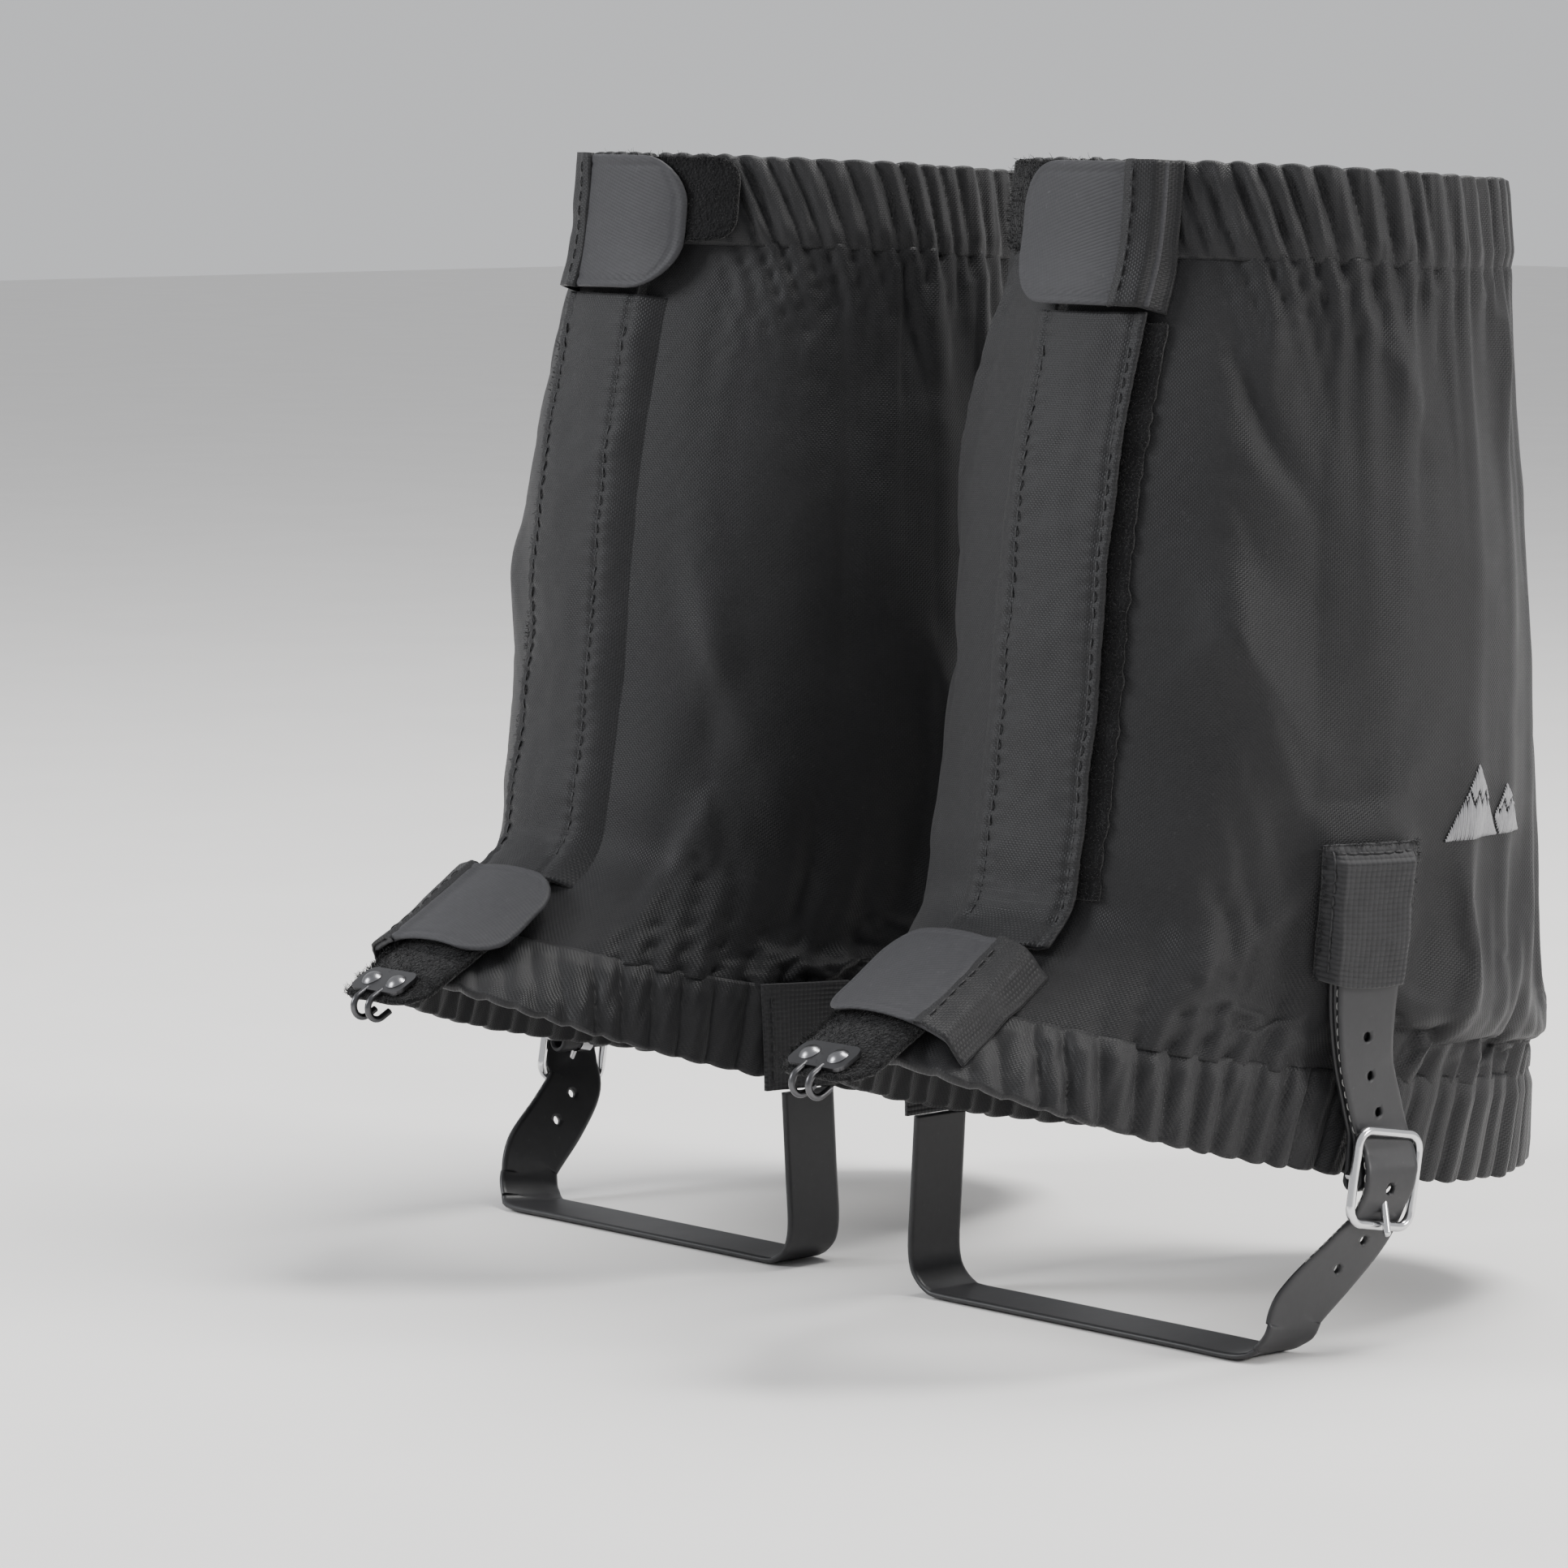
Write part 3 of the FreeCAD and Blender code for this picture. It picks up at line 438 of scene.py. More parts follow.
def makeMaterial(name, look):
    # a shader with one surface pattern, patches of wear and a bump
    material = bpy.data.materials.new(name)
    material.use_nodes = True
    tree = material.node_tree
    shader = tree.nodes["Principled BSDF"]
    shader.inputs["Metallic"].default_value = look.get("metallic", 0.0)
    shader.inputs["Specular IOR Level"].default_value = look.get("specular", 0.4)
    shader.inputs["Sheen Weight"].default_value = look.get("sheen", 0.0)
    shader.inputs["Sheen Roughness"].default_value = look.get("sheenRough", 0.45)
    shader.inputs["Coat Weight"].default_value = look.get("coat", 0.0)
    shader.inputs["Coat Roughness"].default_value = 0.25
    solid = tree.nodes.new("ShaderNodeTexCoord").outputs["Object"]
    place = solid
    if look.get("flat"):
        cloth = tree.nodes.new("ShaderNodeUVMap")
        cloth.uv_map = "weave"
        place = cloth.outputs[0]

    wear = tree.nodes.new("ShaderNodeGroup")
    wear.node_tree = groups["wear"]
    tree.links.new(solid, wear.inputs["Place"])
    patches, lint = wear.outputs["Patches"], wear.outputs["Lint"]
    if look.get("pattern"):
        pattern = tree.nodes.new("ShaderNodeGroup")
        pattern.node_tree = groups[look["pattern"]]
        tree.links.new(place, pattern.inputs["Place"])
        if "count" in look:
            pattern.inputs[1].default_value = look["count"]
        height, tone = pattern.outputs["Height"], pattern.outputs["Tone"]
    else:
        height = noiseNode(tree, place, look.get("grain", 700.0), 4.0, 0.6)
        tone = noiseNode(tree, place, look.get("grain", 700.0) * 0.4, 3.0)

    share = mathNode(tree, "MULTIPLY_ADD", patches, 0.7, mathNode(tree, "MULTIPLY", tone, 0.45))
    clean = mixColours(tree, share, look["dark"], look["light"])
    dust = mathNode(tree, "MULTIPLY", lint, look.get("lintAmount", 0.25))
    dusty = mixColours(tree, dust, look["dark"], look.get("lint", (0.12, 0.12, 0.125)))
    tree.links.new(clean.outputs["Result"], dusty.inputs["A"])
    tree.links.new(dusty.outputs["Result"], shader.inputs["Base Color"])
    low, high = look["rough"]
    tree.links.new(mathNode(tree, "MULTIPLY_ADD", patches, high - low, low), shader.inputs["Roughness"])

    bump = tree.nodes.new("ShaderNodeBump")
    bump.inputs["Strength"].default_value = look.get("bump", 0.5)
    bump.inputs["Distance"].default_value = look.get("depth", 0.00012)
    tree.links.new(height, bump.inputs["Height"])
    tree.links.new(bump.outputs["Normal"], shader.inputs["Normal"])
    return material


looks = {
    "shell": {"dark": (0.0035, 0.0035, 0.004), "light": (0.0135, 0.0135, 0.015), "rough": (0.42, 0.62),
              "sheen": 0.07, "pattern": "weave", "count": 2200.0, "flat": True, "bump": 0.55,
              "depth": 0.00011, "lintAmount": 0.18, "specular": 0.27},
    "cuff": {"dark": (0.0035, 0.0035, 0.004), "light": (0.015, 0.015, 0.0165), "rough": (0.40, 0.60),
             "sheen": 0.08, "pattern": "weave", "count": 2200.0, "flat": True, "bump": 0.5,
             "depth": 0.0001, "lintAmount": 0.15, "specular": 0.3},
    "loop": {"dark": (0.002, 0.002, 0.0023), "light": (0.011, 0.011, 0.012), "rough": (0.75, 0.95),
             "sheen": 0.12, "pattern": "pile", "count": 1500.0, "bump": 0.9, "depth": 0.0004,
             "specular": 0.15, "lintAmount": 0.35},
    "hook": {"dark": (0.006, 0.006, 0.007), "light": (0.022, 0.022, 0.024), "rough": (0.5, 0.7),
             "pattern": "pile", "count": 1100.0, "bump": 0.9, "depth": 0.0005, "lintAmount": 0.3},
    "laminate": {"dark": (0.016, 0.016, 0.018), "light": (0.040, 0.040, 0.044), "rough": (0.50, 0.70),
                 "sheen": 0.04, "pattern": "ribs", "count": 1300.0, "flat": True, "bump": 0.45,
                 "depth": 0.00010, "lintAmount": 0.25, "lint": (0.2, 0.2, 0.21), "specular": 0.3},
    "strap": {"dark": (0.007, 0.007, 0.008), "light": (0.024, 0.024, 0.026), "rough": (0.38, 0.58),
              "grain": 1500.0, "bump": 0.25, "depth": 0.00006, "coat": 0.08, "lintAmount": 0.2},
    "webbing": {"dark": (0.004, 0.004, 0.0045), "light": (0.022, 0.022, 0.024), "rough": (0.6, 0.8),
                "sheen": 0.08, "pattern": "ribs", "count": 900.0, "flat": True, "bump": 0.9,
                "depth": 0.0003, "lintAmount": 0.25},
    "thread": {"dark": (0.004, 0.004, 0.0045), "light": (0.018, 0.018, 0.020), "rough": (0.45, 0.6),
               "grain": 3500.0, "bump": 0.4, "depth": 0.00005},
    "yarn": {"dark": (0.10, 0.10, 0.10), "light": (0.30, 0.30, 0.29), "rough": (0.6, 0.8),
             "grain": 3000.0, "bump": 0.4, "depth": 0.00005},
    "satin": {"dark": (0.12, 0.12, 0.13), "light": (0.33, 0.33, 0.34), "rough": (0.28, 0.42),
              "grain": 2600.0, "bump": 0.3, "depth": 0.00004, "sheen": 0.2, "lintAmount": 0.05},
    "chrome": {"dark": (0.50, 0.50, 0.51), "light": (0.74, 0.74, 0.75), "rough": (0.10, 0.26),
               "metallic": 1.0, "grain": 420.0, "bump": 0.12, "depth": 0.00004, "lintAmount": 0.05},
    "blackened": {"dark": (0.045, 0.045, 0.048), "light": (0.13, 0.13, 0.135), "rough": (0.22, 0.42),
                  "metallic": 1.0, "grain": 600.0, "bump": 0.2, "depth": 0.00005, "lintAmount": 0.1},
    "rivet": {"dark": (0.09, 0.09, 0.095), "light": (0.30, 0.30, 0.31), "rough": (0.18, 0.36),
              "metallic": 1.0, "grain": 700.0, "bump": 0.2, "depth": 0.00005, "lintAmount": 0.1},
}
paint = {name: makeMaterial(name + "Finish", look) for name, look in looks.items()}
print("materials ready")

# gathers shared by a cuff and the cloth beside it


def gatherMarks(seed, length, low, high):
    rng = np.random.default_rng(seed)
    marks = [-0.06]
    while marks[-1] < length + 0.06:
        marks.append(marks[-1] + rng.uniform(low, high))
    return {"marks": np.array(marks), "tall": rng.uniform(0.55, 1.0, len(marks)),
            "reach": rng.uniform(0.5, 1.5, len(marks)), "lean": rng.uniform(-0.25, 0.25, len(marks))}


def gathered(table, along, key="tall"):
    # height of the gathers at a distance round the tube, sharp valleys between round ridges
    marks = table["marks"]
    index = np.clip(np.searchsorted(marks, along) - 1, 0, len(marks) - 2)
    t = (along - marks[index]) / (marks[index + 1] - marks[index])
    return np.abs(np.sin(np.pi * t)) ** 0.75 * table[key][index]


def slantAt(run, length):
    # the gathers lean near the front and stand upright at the back
    outerSide = np.exp(-(run / 0.085) ** 2)
    innerSide = np.exp(-((length - run) / 0.085) ** 2)
    return 0.75 * outerSide - 0.75 * innerSide


def placketFade(run, length, outerWidth=0.052, innerWidth=0.030):
    # 0 beside the front opening, 1 elsewhere
    outerSide = np.clip((run - outerWidth * 0.55) / (outerWidth * 0.45), 0, 1)
    innerSide = np.clip((length - run - innerWidth * 0.55) / (innerWidth * 0.45), 0, 1)
    return (outerSide * innerSide) ** 2


# shell cloth

shell = {
    "rows": 176,
    "cols": 372,
    "inside": 0.0003,                   # from the form to the cloth's inner face
    "thickness": 0.0007,
    "slack": 0.030,                     # how much too large the cloth is for its tube
    "steps": 34,
    "puckerHeight": 0.0026,
    "creases": 36,
    "underCuff": 0.06,                  # share of a section that runs under each cuff
    "sewn": 0.004,                      # width held still along each stitch line
    "farOut": 0.0040,                   # most that settling may move the cloth out, then along
    "farAlong": 0.0030,
    "pressed": (0.029, 0.0135),         # the strap lies on the cloth here: place and half width
    "pressedTop": (0.118, 0.012),
}


def shellFolds(run, rise, length, height, tables, seed):
    # outward displacement of the cloth between the two gather stitches
    rng = np.random.default_rng(seed)
    u, v = np.meshgrid(run, rise)
    topReach = 0.0125 * (0.55 + 0.75 * gathered(tables["top"], u, "reach"))
    lowReach = 0.019 * (0.5 + 0.8 * gathered(tables["bottom"], u, "reach"))
    topPhase = u + slantAt(u, length) * (v - height) * 0.9
    lowPhase = u + slantAt(u, length) * v * 0.6
    folds = shell["puckerHeight"] * (gathered(tables["top"], topPhase) - 0.35) \
        * np.exp(-((height - v) / topReach) ** 1.3)
    folds += shell["puckerHeight"] * 1.15 * (gathered(tables["bottom"], lowPhase) - 0.35) \
        * np.exp(-(v / lowReach) ** 1.3)

    for index in range(shell["creases"]):
        kind = index % 3
        startU = (index + rng.uniform(0.1, 0.9)) / shell["creases"] * length
        if kind == 0:       # falling from the top stitch
            startV, endV = height - 0.006, height - rng.uniform(0.030, 0.075)
            endU = startU + rng.uniform(-0.030, 0.030)
            wide, tall = rng.uniform(0.0032, 0.0060), rng.uniform(0.0016, 0.0034)
        elif kind == 1:     # rising from the bottom stitch
            startV, endV = 0.004, rng.uniform(0.030, 0.060)
            endU = startU + rng.uniform(-0.022, 0.022)
            wide, tall = rng.uniform(0.0032, 0.0065), rng.uniform(0.0020, 0.0038)
        else:               # long soft folds across the middle
            startV = rng.uniform(0.35, 0.80) * height
            endV = startV - rng.uniform(0.030, 0.070)
            endU = startU + rng.choice([-1, 1]) * rng.uniform(0.020, 0.055)
            wide, tall = rng.uniform(0.0050, 0.0100), rng.uniform(0.0024, 0.0046)
        tall *= rng.choice([1.0, -0.7])
        alongU, alongV = endU - startU, endV - startV
        reach = math.hypot(alongU, alongV)
        share = ((u - startU) * alongU + (v - startV) * alongV) / reach ** 2
        off = ((u - startU) * alongV - (v - startV) * alongU) / reach + 0.004 * np.sin(3 * share + index)
        taper = np.clip(1 - ((share - 0.45) / 0.62) ** 2, 0, 1) ** 1.5
        folds += tall * taper * np.exp(-np.abs(off / wide) ** 1.7)
    return folds


def upsample(grid, rows, cols):
    tall = through(grid, np.linspace(0, grid.shape[0] - 1, rows))
    wide = through(np.swapaxes(tall, 0, 1), np.linspace(0, grid.shape[1] - 1, cols))
    return np.swapaxes(wide, 0, 1)


def simulate(objects, steps):
    # the cloth is a little too big for its tube and settles into folds; returns the moved points
    for obj, hold in objects:
        group = obj.vertex_groups.new(name="hold")
        for index, weight in enumerate(hold.ravel()):
            if weight > 0.01:
                group.add([index], float(weight), "REPLACE")
        cloth = obj.modifiers.new("cloth", "CLOTH")
        cloth.settings.quality = 6
        cloth.settings.mass = 0.12
        cloth.settings.tension_stiffness = 22
        cloth.settings.compression_stiffness = 22
        cloth.settings.shear_stiffness = 7
        cloth.settings.bending_stiffness = 1.2
        cloth.settings.shrink_min = -shell["slack"]
        cloth.settings.vertex_group_mass = "hold"
        cloth.settings.pin_stiffness = 1.0
        cloth.settings.use_pressure = True
        cloth.settings.uniform_pressure_force = 0.35
        cloth.collision_settings.use_collision = False
        cloth.collision_settings.use_self_collision = False
        cloth.point_cache.frame_start, cloth.point_cache.frame_end = 1, steps
    for step in range(1, steps + 1):
        bpy.context.scene.frame_set(step)
    graph = bpy.context.evaluated_depsgraph_get()
    settled = []
    for obj, _ in objects:
        moved = np.empty(len(obj.data.vertices) * 3)
        obj.evaluated_get(graph).data.vertices.foreach_get("co", moved)
        settled.append(moved.reshape(-1, 3))
        obj.modifiers.clear()
    bpy.context.scene.frame_set(1)
    return settled


shellLength = ring(4.5, 11)[1]
seeds = {"left": 11, "right": 47}
gatherTables = {side: {"top": gatherMarks(seeds[side] + 1, shellLength, 0.0052, 0.0080),
                       "bottom": gatherMarks(seeds[side] + 2, shellLength, 0.0055, 0.0085)}
                for side in sides}


def makeShells():
    # both cloths settle together, and the middle surface of each is kept for the embroidery
    coarseRows, coarseCols = shell["rows"] // 2, shell["cols"] // 2
    levels = np.linspace(lowStitch - shell["underCuff"], highStitch + shell["underCuff"], coarseRows)
    base, normals, rise = formGrid(levels, coarseCols)
    run = np.linspace(0, shellLength, coarseCols)
    height = rise[-1]
    fade = placketFade(run, shellLength)[None, :] * np.ones((coarseRows, 1))
    edge = np.minimum(rise, height - rise)[:, None]
    hold = np.clip(np.clip(1 - edge / shell["sewn"], 0, 1) + (1 - fade) * 0.999, 0, 1)
    middle = shell["inside"] + shell["thickness"] / 2
    (strapY, strapHalf), (strapTop, blur) = shell["pressed"], shell["pressedTop"]
    beside = np.exp(-((base[..., 1] - strapY) / strapHalf) ** 4) * (base[..., 0] > 0)
    loose = 1 - 0.9 * beside * np.clip((strapTop - base[..., 2]) / blur, 0, 1)
    started, coarse = [], {}
    for side in sides:
        folds = shellFolds(run, rise, shellLength, height, gatherTables[side], seeds[side]) * fade * loose
        coarse[side] = base + normals * (middle + folds)[..., None]
    for side in sides:
        obj = makeObject("settling_" + side, coarse[side], gridFaces(coarseRows, coarseCols), side)
        started.append((obj, hold))
    settled = simulate(started, shell["steps"])
    for side, moved, (obj, _) in zip(sides, settled, started):
        moved[:, 0] = sides[side] * moved[:, 0] - tube["spacing"] / 2
        shift = moved.reshape(coarse[side].shape) - coarse[side]
        out = (shift * normals).sum(2)
        limited = shell["farOut"] * np.tanh(out / shell["farOut"])
        along = shift - out[..., None] * normals
        size = np.linalg.norm(along, axis=2, keepdims=True)
        along *= np.tanh(size / shell["farAlong"]) * shell["farAlong"] / np.maximum(size, 1e-9)
        calm = 0.15 + 0.85 * placketFade(run, shellLength, 0.070, 0.060)
        calm = calm[None, :, None] * loose[..., None]
        coarse[side] = coarse[side] + (along + limited[..., None] * normals) * calm
        print("cloth settled", side, "moved", round(float(np.abs(out).max()) * 1000, 1), "mm")
        bpy.data.objects.remove(obj)
    made = {}
    for side in sides:
        grid = upsample(coarse[side], shell["rows"], shell["cols"])
        fine = gridNormals(grid)
        fineRise = np.interp(np.linspace(0, 1, shell["rows"]), np.linspace(0, 1, coarseRows), rise)
        fineRun = np.linspace(0, shellLength, shell["cols"])
        flat = np.stack(np.meshgrid(fineRun, fineRise), 2)
        ripple = fieldNoise(grid, 120.0, seeds[side]) * 0.00022
        ripple += fieldNoise(grid, 45.0, seeds[side] + 2) * 0.0005
        grid = grid + fine * (ripple * placketFade(fineRun, shellLength)[None, :])[..., None]
        half = shell["thickness"] / 2
        obj = slab(side + "_shell_cloth", grid + fine * half, grid - fine * half, side, flat)
        dressed(obj, paint["shell"], side + "_gaiter", [side + "_shell_panel"])
        made[side] = grid
    return made


shells = makeShells()
print("shell cloth ready")

# gathered cuffs

cuff = {
    "cols": 620,
    "outer": 0.0025,
    "stitched": 0.0009,                 # its height over the form at the stitches
    "inner": -0.0003,
    "ridge": 0.0026,
    "scallop": 0.05,                    # how much the gathers shorten and lengthen its rim
    "fullness": 1.25,
    "flatWidth": 0.022,
}


def makeCuff(side, which):
    cols = cuff["cols"]
    sign = 1 if which == "top" else -1
    stitch = highStitch if which == "top" else lowStitch
    profile = [(t, 0.0) for t in np.linspace(0, 0.96, 24)]
    profile += [(0.97 + 0.045 * math.sin(a), (1 - math.cos(a)) / 2)
                for a in np.linspace(0.15, math.pi - 0.15, 7)]
    profile += [(t, 1.0) for t in np.linspace(0.96, 0, 14)]
    table = gatherTables[side][which]
    run = np.linspace(0, shellLength, cols)
    columns = np.empty((cols, len(profile), 3))
    flat = np.empty((cols, len(profile), 2))
    slant = slantAt(run, shellLength)
    rimShift = cuff["scallop"] * (gathered(table, run + slant * tube["cuff"] * sign) - 0.5)
    samples = np.linspace(0, 1.12, 29)
    stack = np.array([ring(stitch + sign * (s if s <= 1 or which == "top" else 1 + (s - 1) * 1.1), cols)[0]
                      for s in samples])
    stackNormals = gridNormals(stack) * sign
    fade = placketFade(run, shellLength, 0.034, 0.030) * 0.72 + 0.28
    for index, (t, inward) in enumerate(profile):
        reach = t * (1 + rimShift)
        where = np.clip(reach / samples[-1] * (len(samples) - 1), 0, len(samples) - 1.001)
        low = where.astype(int)
        part = (where - low)[:, None]
        column = np.arange(cols)
        points = stack[low, column] * (1 - part) + stack[low + 1, column] * part
        normals = stackNormals[low, column] * (1 - part) + stackNormals[low + 1, column] * part
        swell = min(1.0, 0.28 + 0.72 * min(t / 0.20, 1) ** 0.8) * (1 - 0.18 * max(0, (t - 0.8) / 0.2))
        outer = cuff["stitched"] + (cuff["outer"] - cuff["stitched"]) * swell
        ridges = gathered(table, run + slant * t * tube["cuff"] * 0.9 * sign)
        second = gathered(gatherTables[side]["bottom" if which == "top" else "top"],
                          run * 1.9 + slant * t * 0.011 * sign)
        bumps = cuff["ridge"] * (ridges - 0.55) + 0.0005 * (second - 0.5)
        ramp = 0.45 + 0.55 * min(t / 0.25, 1)
        out = outer * (1 - inward) + cuff["inner"] * inward
        columns[:, index] = points + normals * (out + bumps * fade * ramp * (1 - 0.45 * inward))[:, None]
        flat[:, index, 0] = run * cuff["fullness"]
        flat[:, index, 1] = (t if not inward else 2 - t) * tube["cuff"]
    count = len(profile)
    faces = gridFaces(cols, count, True)
    faces += [tuple(range(count)), tuple(range((cols - 1) * count, cols * count))[::-1]]
    obj = makeObject(side + "_" + which + "_cuff", columns, faces, side)
    addWeaveMap(obj, flat)
    closeNormals(obj)
    dressed(obj, paint["cuff"], side + "_gaiter",
            [side + "_" + which + "_hem_casing", side + "_" + which + "_elastic"])


for side in sides:
    for which in ("top", "bottom"):
        makeCuff(side, which)
print("cuffs ready")

# fuzz on the loop faces


def fuzz(name, points, normals, side, count, seed, length=0.0011, radius=0.00006):
    # short bent fibres standing on a surface given as points with normals
    rng = np.random.default_rng(seed)
    flatPoints, flatNormals = points.reshape(-1, 3), normals.reshape(-1, 3)
    vertices, faces = [], []
    for pick in rng.integers(0, len(flatPoints), count):
        normal = flatNormals[pick] + rng.uniform(-0.6, 0.6, 3)
        normal = normal / np.linalg.norm(normal)
        side1 = np.cross(normal, rng.uniform(-1, 1, 3))
        side1 = side1 / max(np.linalg.norm(side1), 1e-6)
        side2 = np.cross(normal, side1)
        foot = flatPoints[pick] + rng.uniform(-0.0004, 0.0004, 3)
        tall = length * rng.uniform(0.5, 1.2)
        bend = rng.uniform(0.3, 0.9) * tall
        start = len(vertices)
        for share in (0.0, 0.4, 0.75, 1.0):
            centre = foot + normal * tall * share * (1.2 - 0.5 * share) + side1 * bend * share ** 2
            size = radius * (1.15 - 0.5 * share)
            for corner in range(3):
                turn = 2 * math.pi * corner / 3
                vertices.append(centre + side1 * size * math.cos(turn) + side2 * size * math.sin(turn))
        faces += [tuple(start + i for i in face) for face in gridFaces(4, 3, True)]
        faces += [(start + 2, start + 1, start), (start + 9, start + 10, start + 11)]
    obj = makeObject(name, np.array(vertices), faces, side)
    closeNormals(obj)
    return obj


# front placket: loop strip, flap and its hooks

placket = {
    "free": 0.0190,                     # the flap's free edge, from the gaiter's centre
    "hinge": -0.0060,
    "medial": -0.0185,                  # where the flap's cloth has run into the shell
    "low": 0.0835,
    "high": 0.2147,
    "outer": 0.0040,                    # the flap's outer face, over the form
    "wall": 0.0011,
    "seams": (-0.0046, 0.0168),
    "strip": (-0.0025, 0.0228, 0.095, 0.213),       # sides, foot and top of the loop strip
    "hooks": (-0.0015, 0.0175, 0.097, 0.211),
    "cols": 74,
    "rows": 190,
}


def frontGrid(xs, zs):
    return castGrid(len(zs), len(xs), lambda r, c: onForm(float(xs[c]), float(zs[r])))


flapXs = np.linspace(placket["medial"], placket["free"], placket["cols"])
flapZs = np.linspace(placket["low"], placket["high"], placket["rows"])
flapBase, flapNormals = frontGrid(flapXs, flapZs)
stripXs, stripZs = np.linspace(*placket["strip"][:2], 40), np.linspace(*placket["strip"][2:], 170)
stripBase, stripNormals = frontGrid(stripXs, stripZs)
hookXs, hookZs = np.linspace(*placket["hooks"][:2], 24), np.linspace(*placket["hooks"][2:], 120)
hookBase, hookNormals = frontGrid(hookXs, hookZs)


def makePlacket(side):
    seed = seeds[side]
    flat = np.stack(np.meshgrid(stripXs, stripZs), 2)
    wander = fieldNoise(stripBase, 160.0, seed) * 0.0004
    ragged = np.interp(stripXs, [0.018, placket["strip"][1]], [0, 1])[None, :]
    ragged = ragged * fieldNoise(stripBase * [0, 1, 1], 420.0, seed)
    base = stripBase + np.array([1, 0, 0]) * (ragged * 0.0009)[..., None]
    outer = base + stripNormals * (0.0020 + wander)[..., None]
    inner = base + stripNormals * 0.0009
    loop = slab(side + "_placket_loop_strip", outer, inner, side, flat)
    dressed(loop, paint["loop"], side + "_gaiter", [side + "_front_loop_strip"])
    shown = outer[:, 32:]
    tufts = fuzz(side + "_placket_fuzz", shown, stripNormals[:, 32:], side, 1500, seed + 3)
    dressed(tufts, paint["loop"], side + "_gaiter")

    flat = np.stack(np.meshgrid(hookXs, hookZs), 2)
    hooks = slab(side + "_flap_hooks", hookBase + hookNormals * 0.0029, hookBase + hookNormals * 0.0021,
                 side, flat)
    dressed(hooks, paint["hook"], side + "_front_flap", [side + "_flap_hook_strip"])

    x, z = np.meshgrid(flapXs, flapZs)
    climb = (x - placket["medial"] - 0.001) / (placket["hinge"] - placket["medial"] - 0.001)
    climb = ease(np.clip(climb, 0, 1))
    outerOut = -0.0006 + (placket["outer"] + 0.0006) * climb
    seamDip = 0.00045 * sum(np.exp(-((x - seam) / 0.0009) ** 2) for seam in placket["seams"])
    folded = 0.00035 * np.clip((x - 0.0162) / 0.001, 0, 1)
    ripple = fieldNoise(flapBase, 70.0, seed + 5) * 0.0007 + fieldNoise(flapBase, 190.0, seed + 6) * 0.00025
    puckers = 0.00022 * np.sin(z / 0.0034 * 2 * np.pi + 4 * fieldNoise(flapBase, 60.0, seed + 7)) \
        * sum(np.exp(-((x - seam) / 0.0025) ** 2) for seam in placket["seams"])
    out = outerOut + (ripple + puckers) * climb - seamDip + folded
    wave = fieldNoise(flapBase * [0, 1, 1], 55.0, seed + 8) * 0.0008 * np.clip(x / placket["free"], 0, 1)
    shifted = flapBase + np.array([1, 0, 0]) * wave[..., None]
    outer = shifted + flapNormals * out[..., None]
    under = np.maximum(out - placket["wall"], -0.0016)
    edge = np.clip((x - (placket["free"] - 0.0006)) / 0.0006, 0, 1)
    outer -= flapNormals * (0.00035 * edge)[..., None]
    inner = shifted + flapNormals * (under + 0.0003 * edge)[..., None]
    flap = slab(side + "_front_flap_cloth", outer, inner, side, np.stack([x, z], 2))
    dressed(flap, paint["shell"], None, [side + "_front_flap"])
    hinge = toWorld(np.array([-0.0067, -0.0139, 0.154]), side)
    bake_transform(flap)
    for name, seam in zip(("inner", "outer"), placket["seams"]):
        column = int(np.argmin(np.abs(flapXs - seam)))
        line = outer[6:-6, column] + flapNormals[6:-6, column] * 0.0001
        row = stitchRow(side + "_flap_stitches_" + name, line, flapNormals[6:-6, column], side)
        dressed(row, paint["thread"], side + "_front_flap")


for side in sides:
    makePlacket(side)
print("plackets ready")

# closing tabs

vampAngle = tube["vampAngle"]
vampOut = np.array([0, -math.sin(vampAngle), math.cos(vampAngle)])
vampUp = np.array([0, math.cos(vampAngle), math.sin(vampAngle)])
hemPoint = np.array([0, -0.062, 0.065])

# end is the radius at the free end, stand the height over the form, band where the sewn cloth begins
tabs = {
    "top": {"length": 0.036, "height": 0.031, "end": 0.0115, "stand": 0.0061, "shift": 0.0018,
            "band": 0.0118, "centre": np.array([0, -0.014, 0.2309]), "up": np.array([0, 0, 1.0]),
            "out": np.array([0, -1.0, 0])},
    "bottom": {"length": 0.035, "height": 0.029, "end": 0.0095, "stand": 0.0068, "shift": 0.0012,
               "band": 0.0112, "centre": hemPoint + vampUp * 0.0215 + vampOut * 0.012, "up": vampUp,
               "out": vampOut},
}
tabBand = {"end": 0.0218, "turn": 0.0175, "turnLength": 0.0043, "thickness": 0.0008,
           "onShell": 0.0018, "onCuff": 0.0034}


def plateGrid(length, height, end, spacing):
    # places (across, up) on a plate whose -X end has rounded corners
    rows = max(int(height / spacing), 12)
    cols = max(int(length / spacing), 12)
    turn = np.linspace(-math.pi / 2, math.pi / 2, rows)
    up = height / 2 * (0.35 * turn / (math.pi / 2) + 0.65 * np.sin(turn))
    beyond = np.clip(np.abs(up) - (height / 2 - end), 0, end)
    inset = end - np.sqrt(np.maximum(end ** 2 - beyond ** 2, 0))
    grid = np.empty((rows, cols, 2))
    for r in range(rows):
        grid[r, :, 0] = np.linspace(-length / 2 + inset[r], length / 2, cols)
        grid[r, :, 1] = up[r]
    return grid


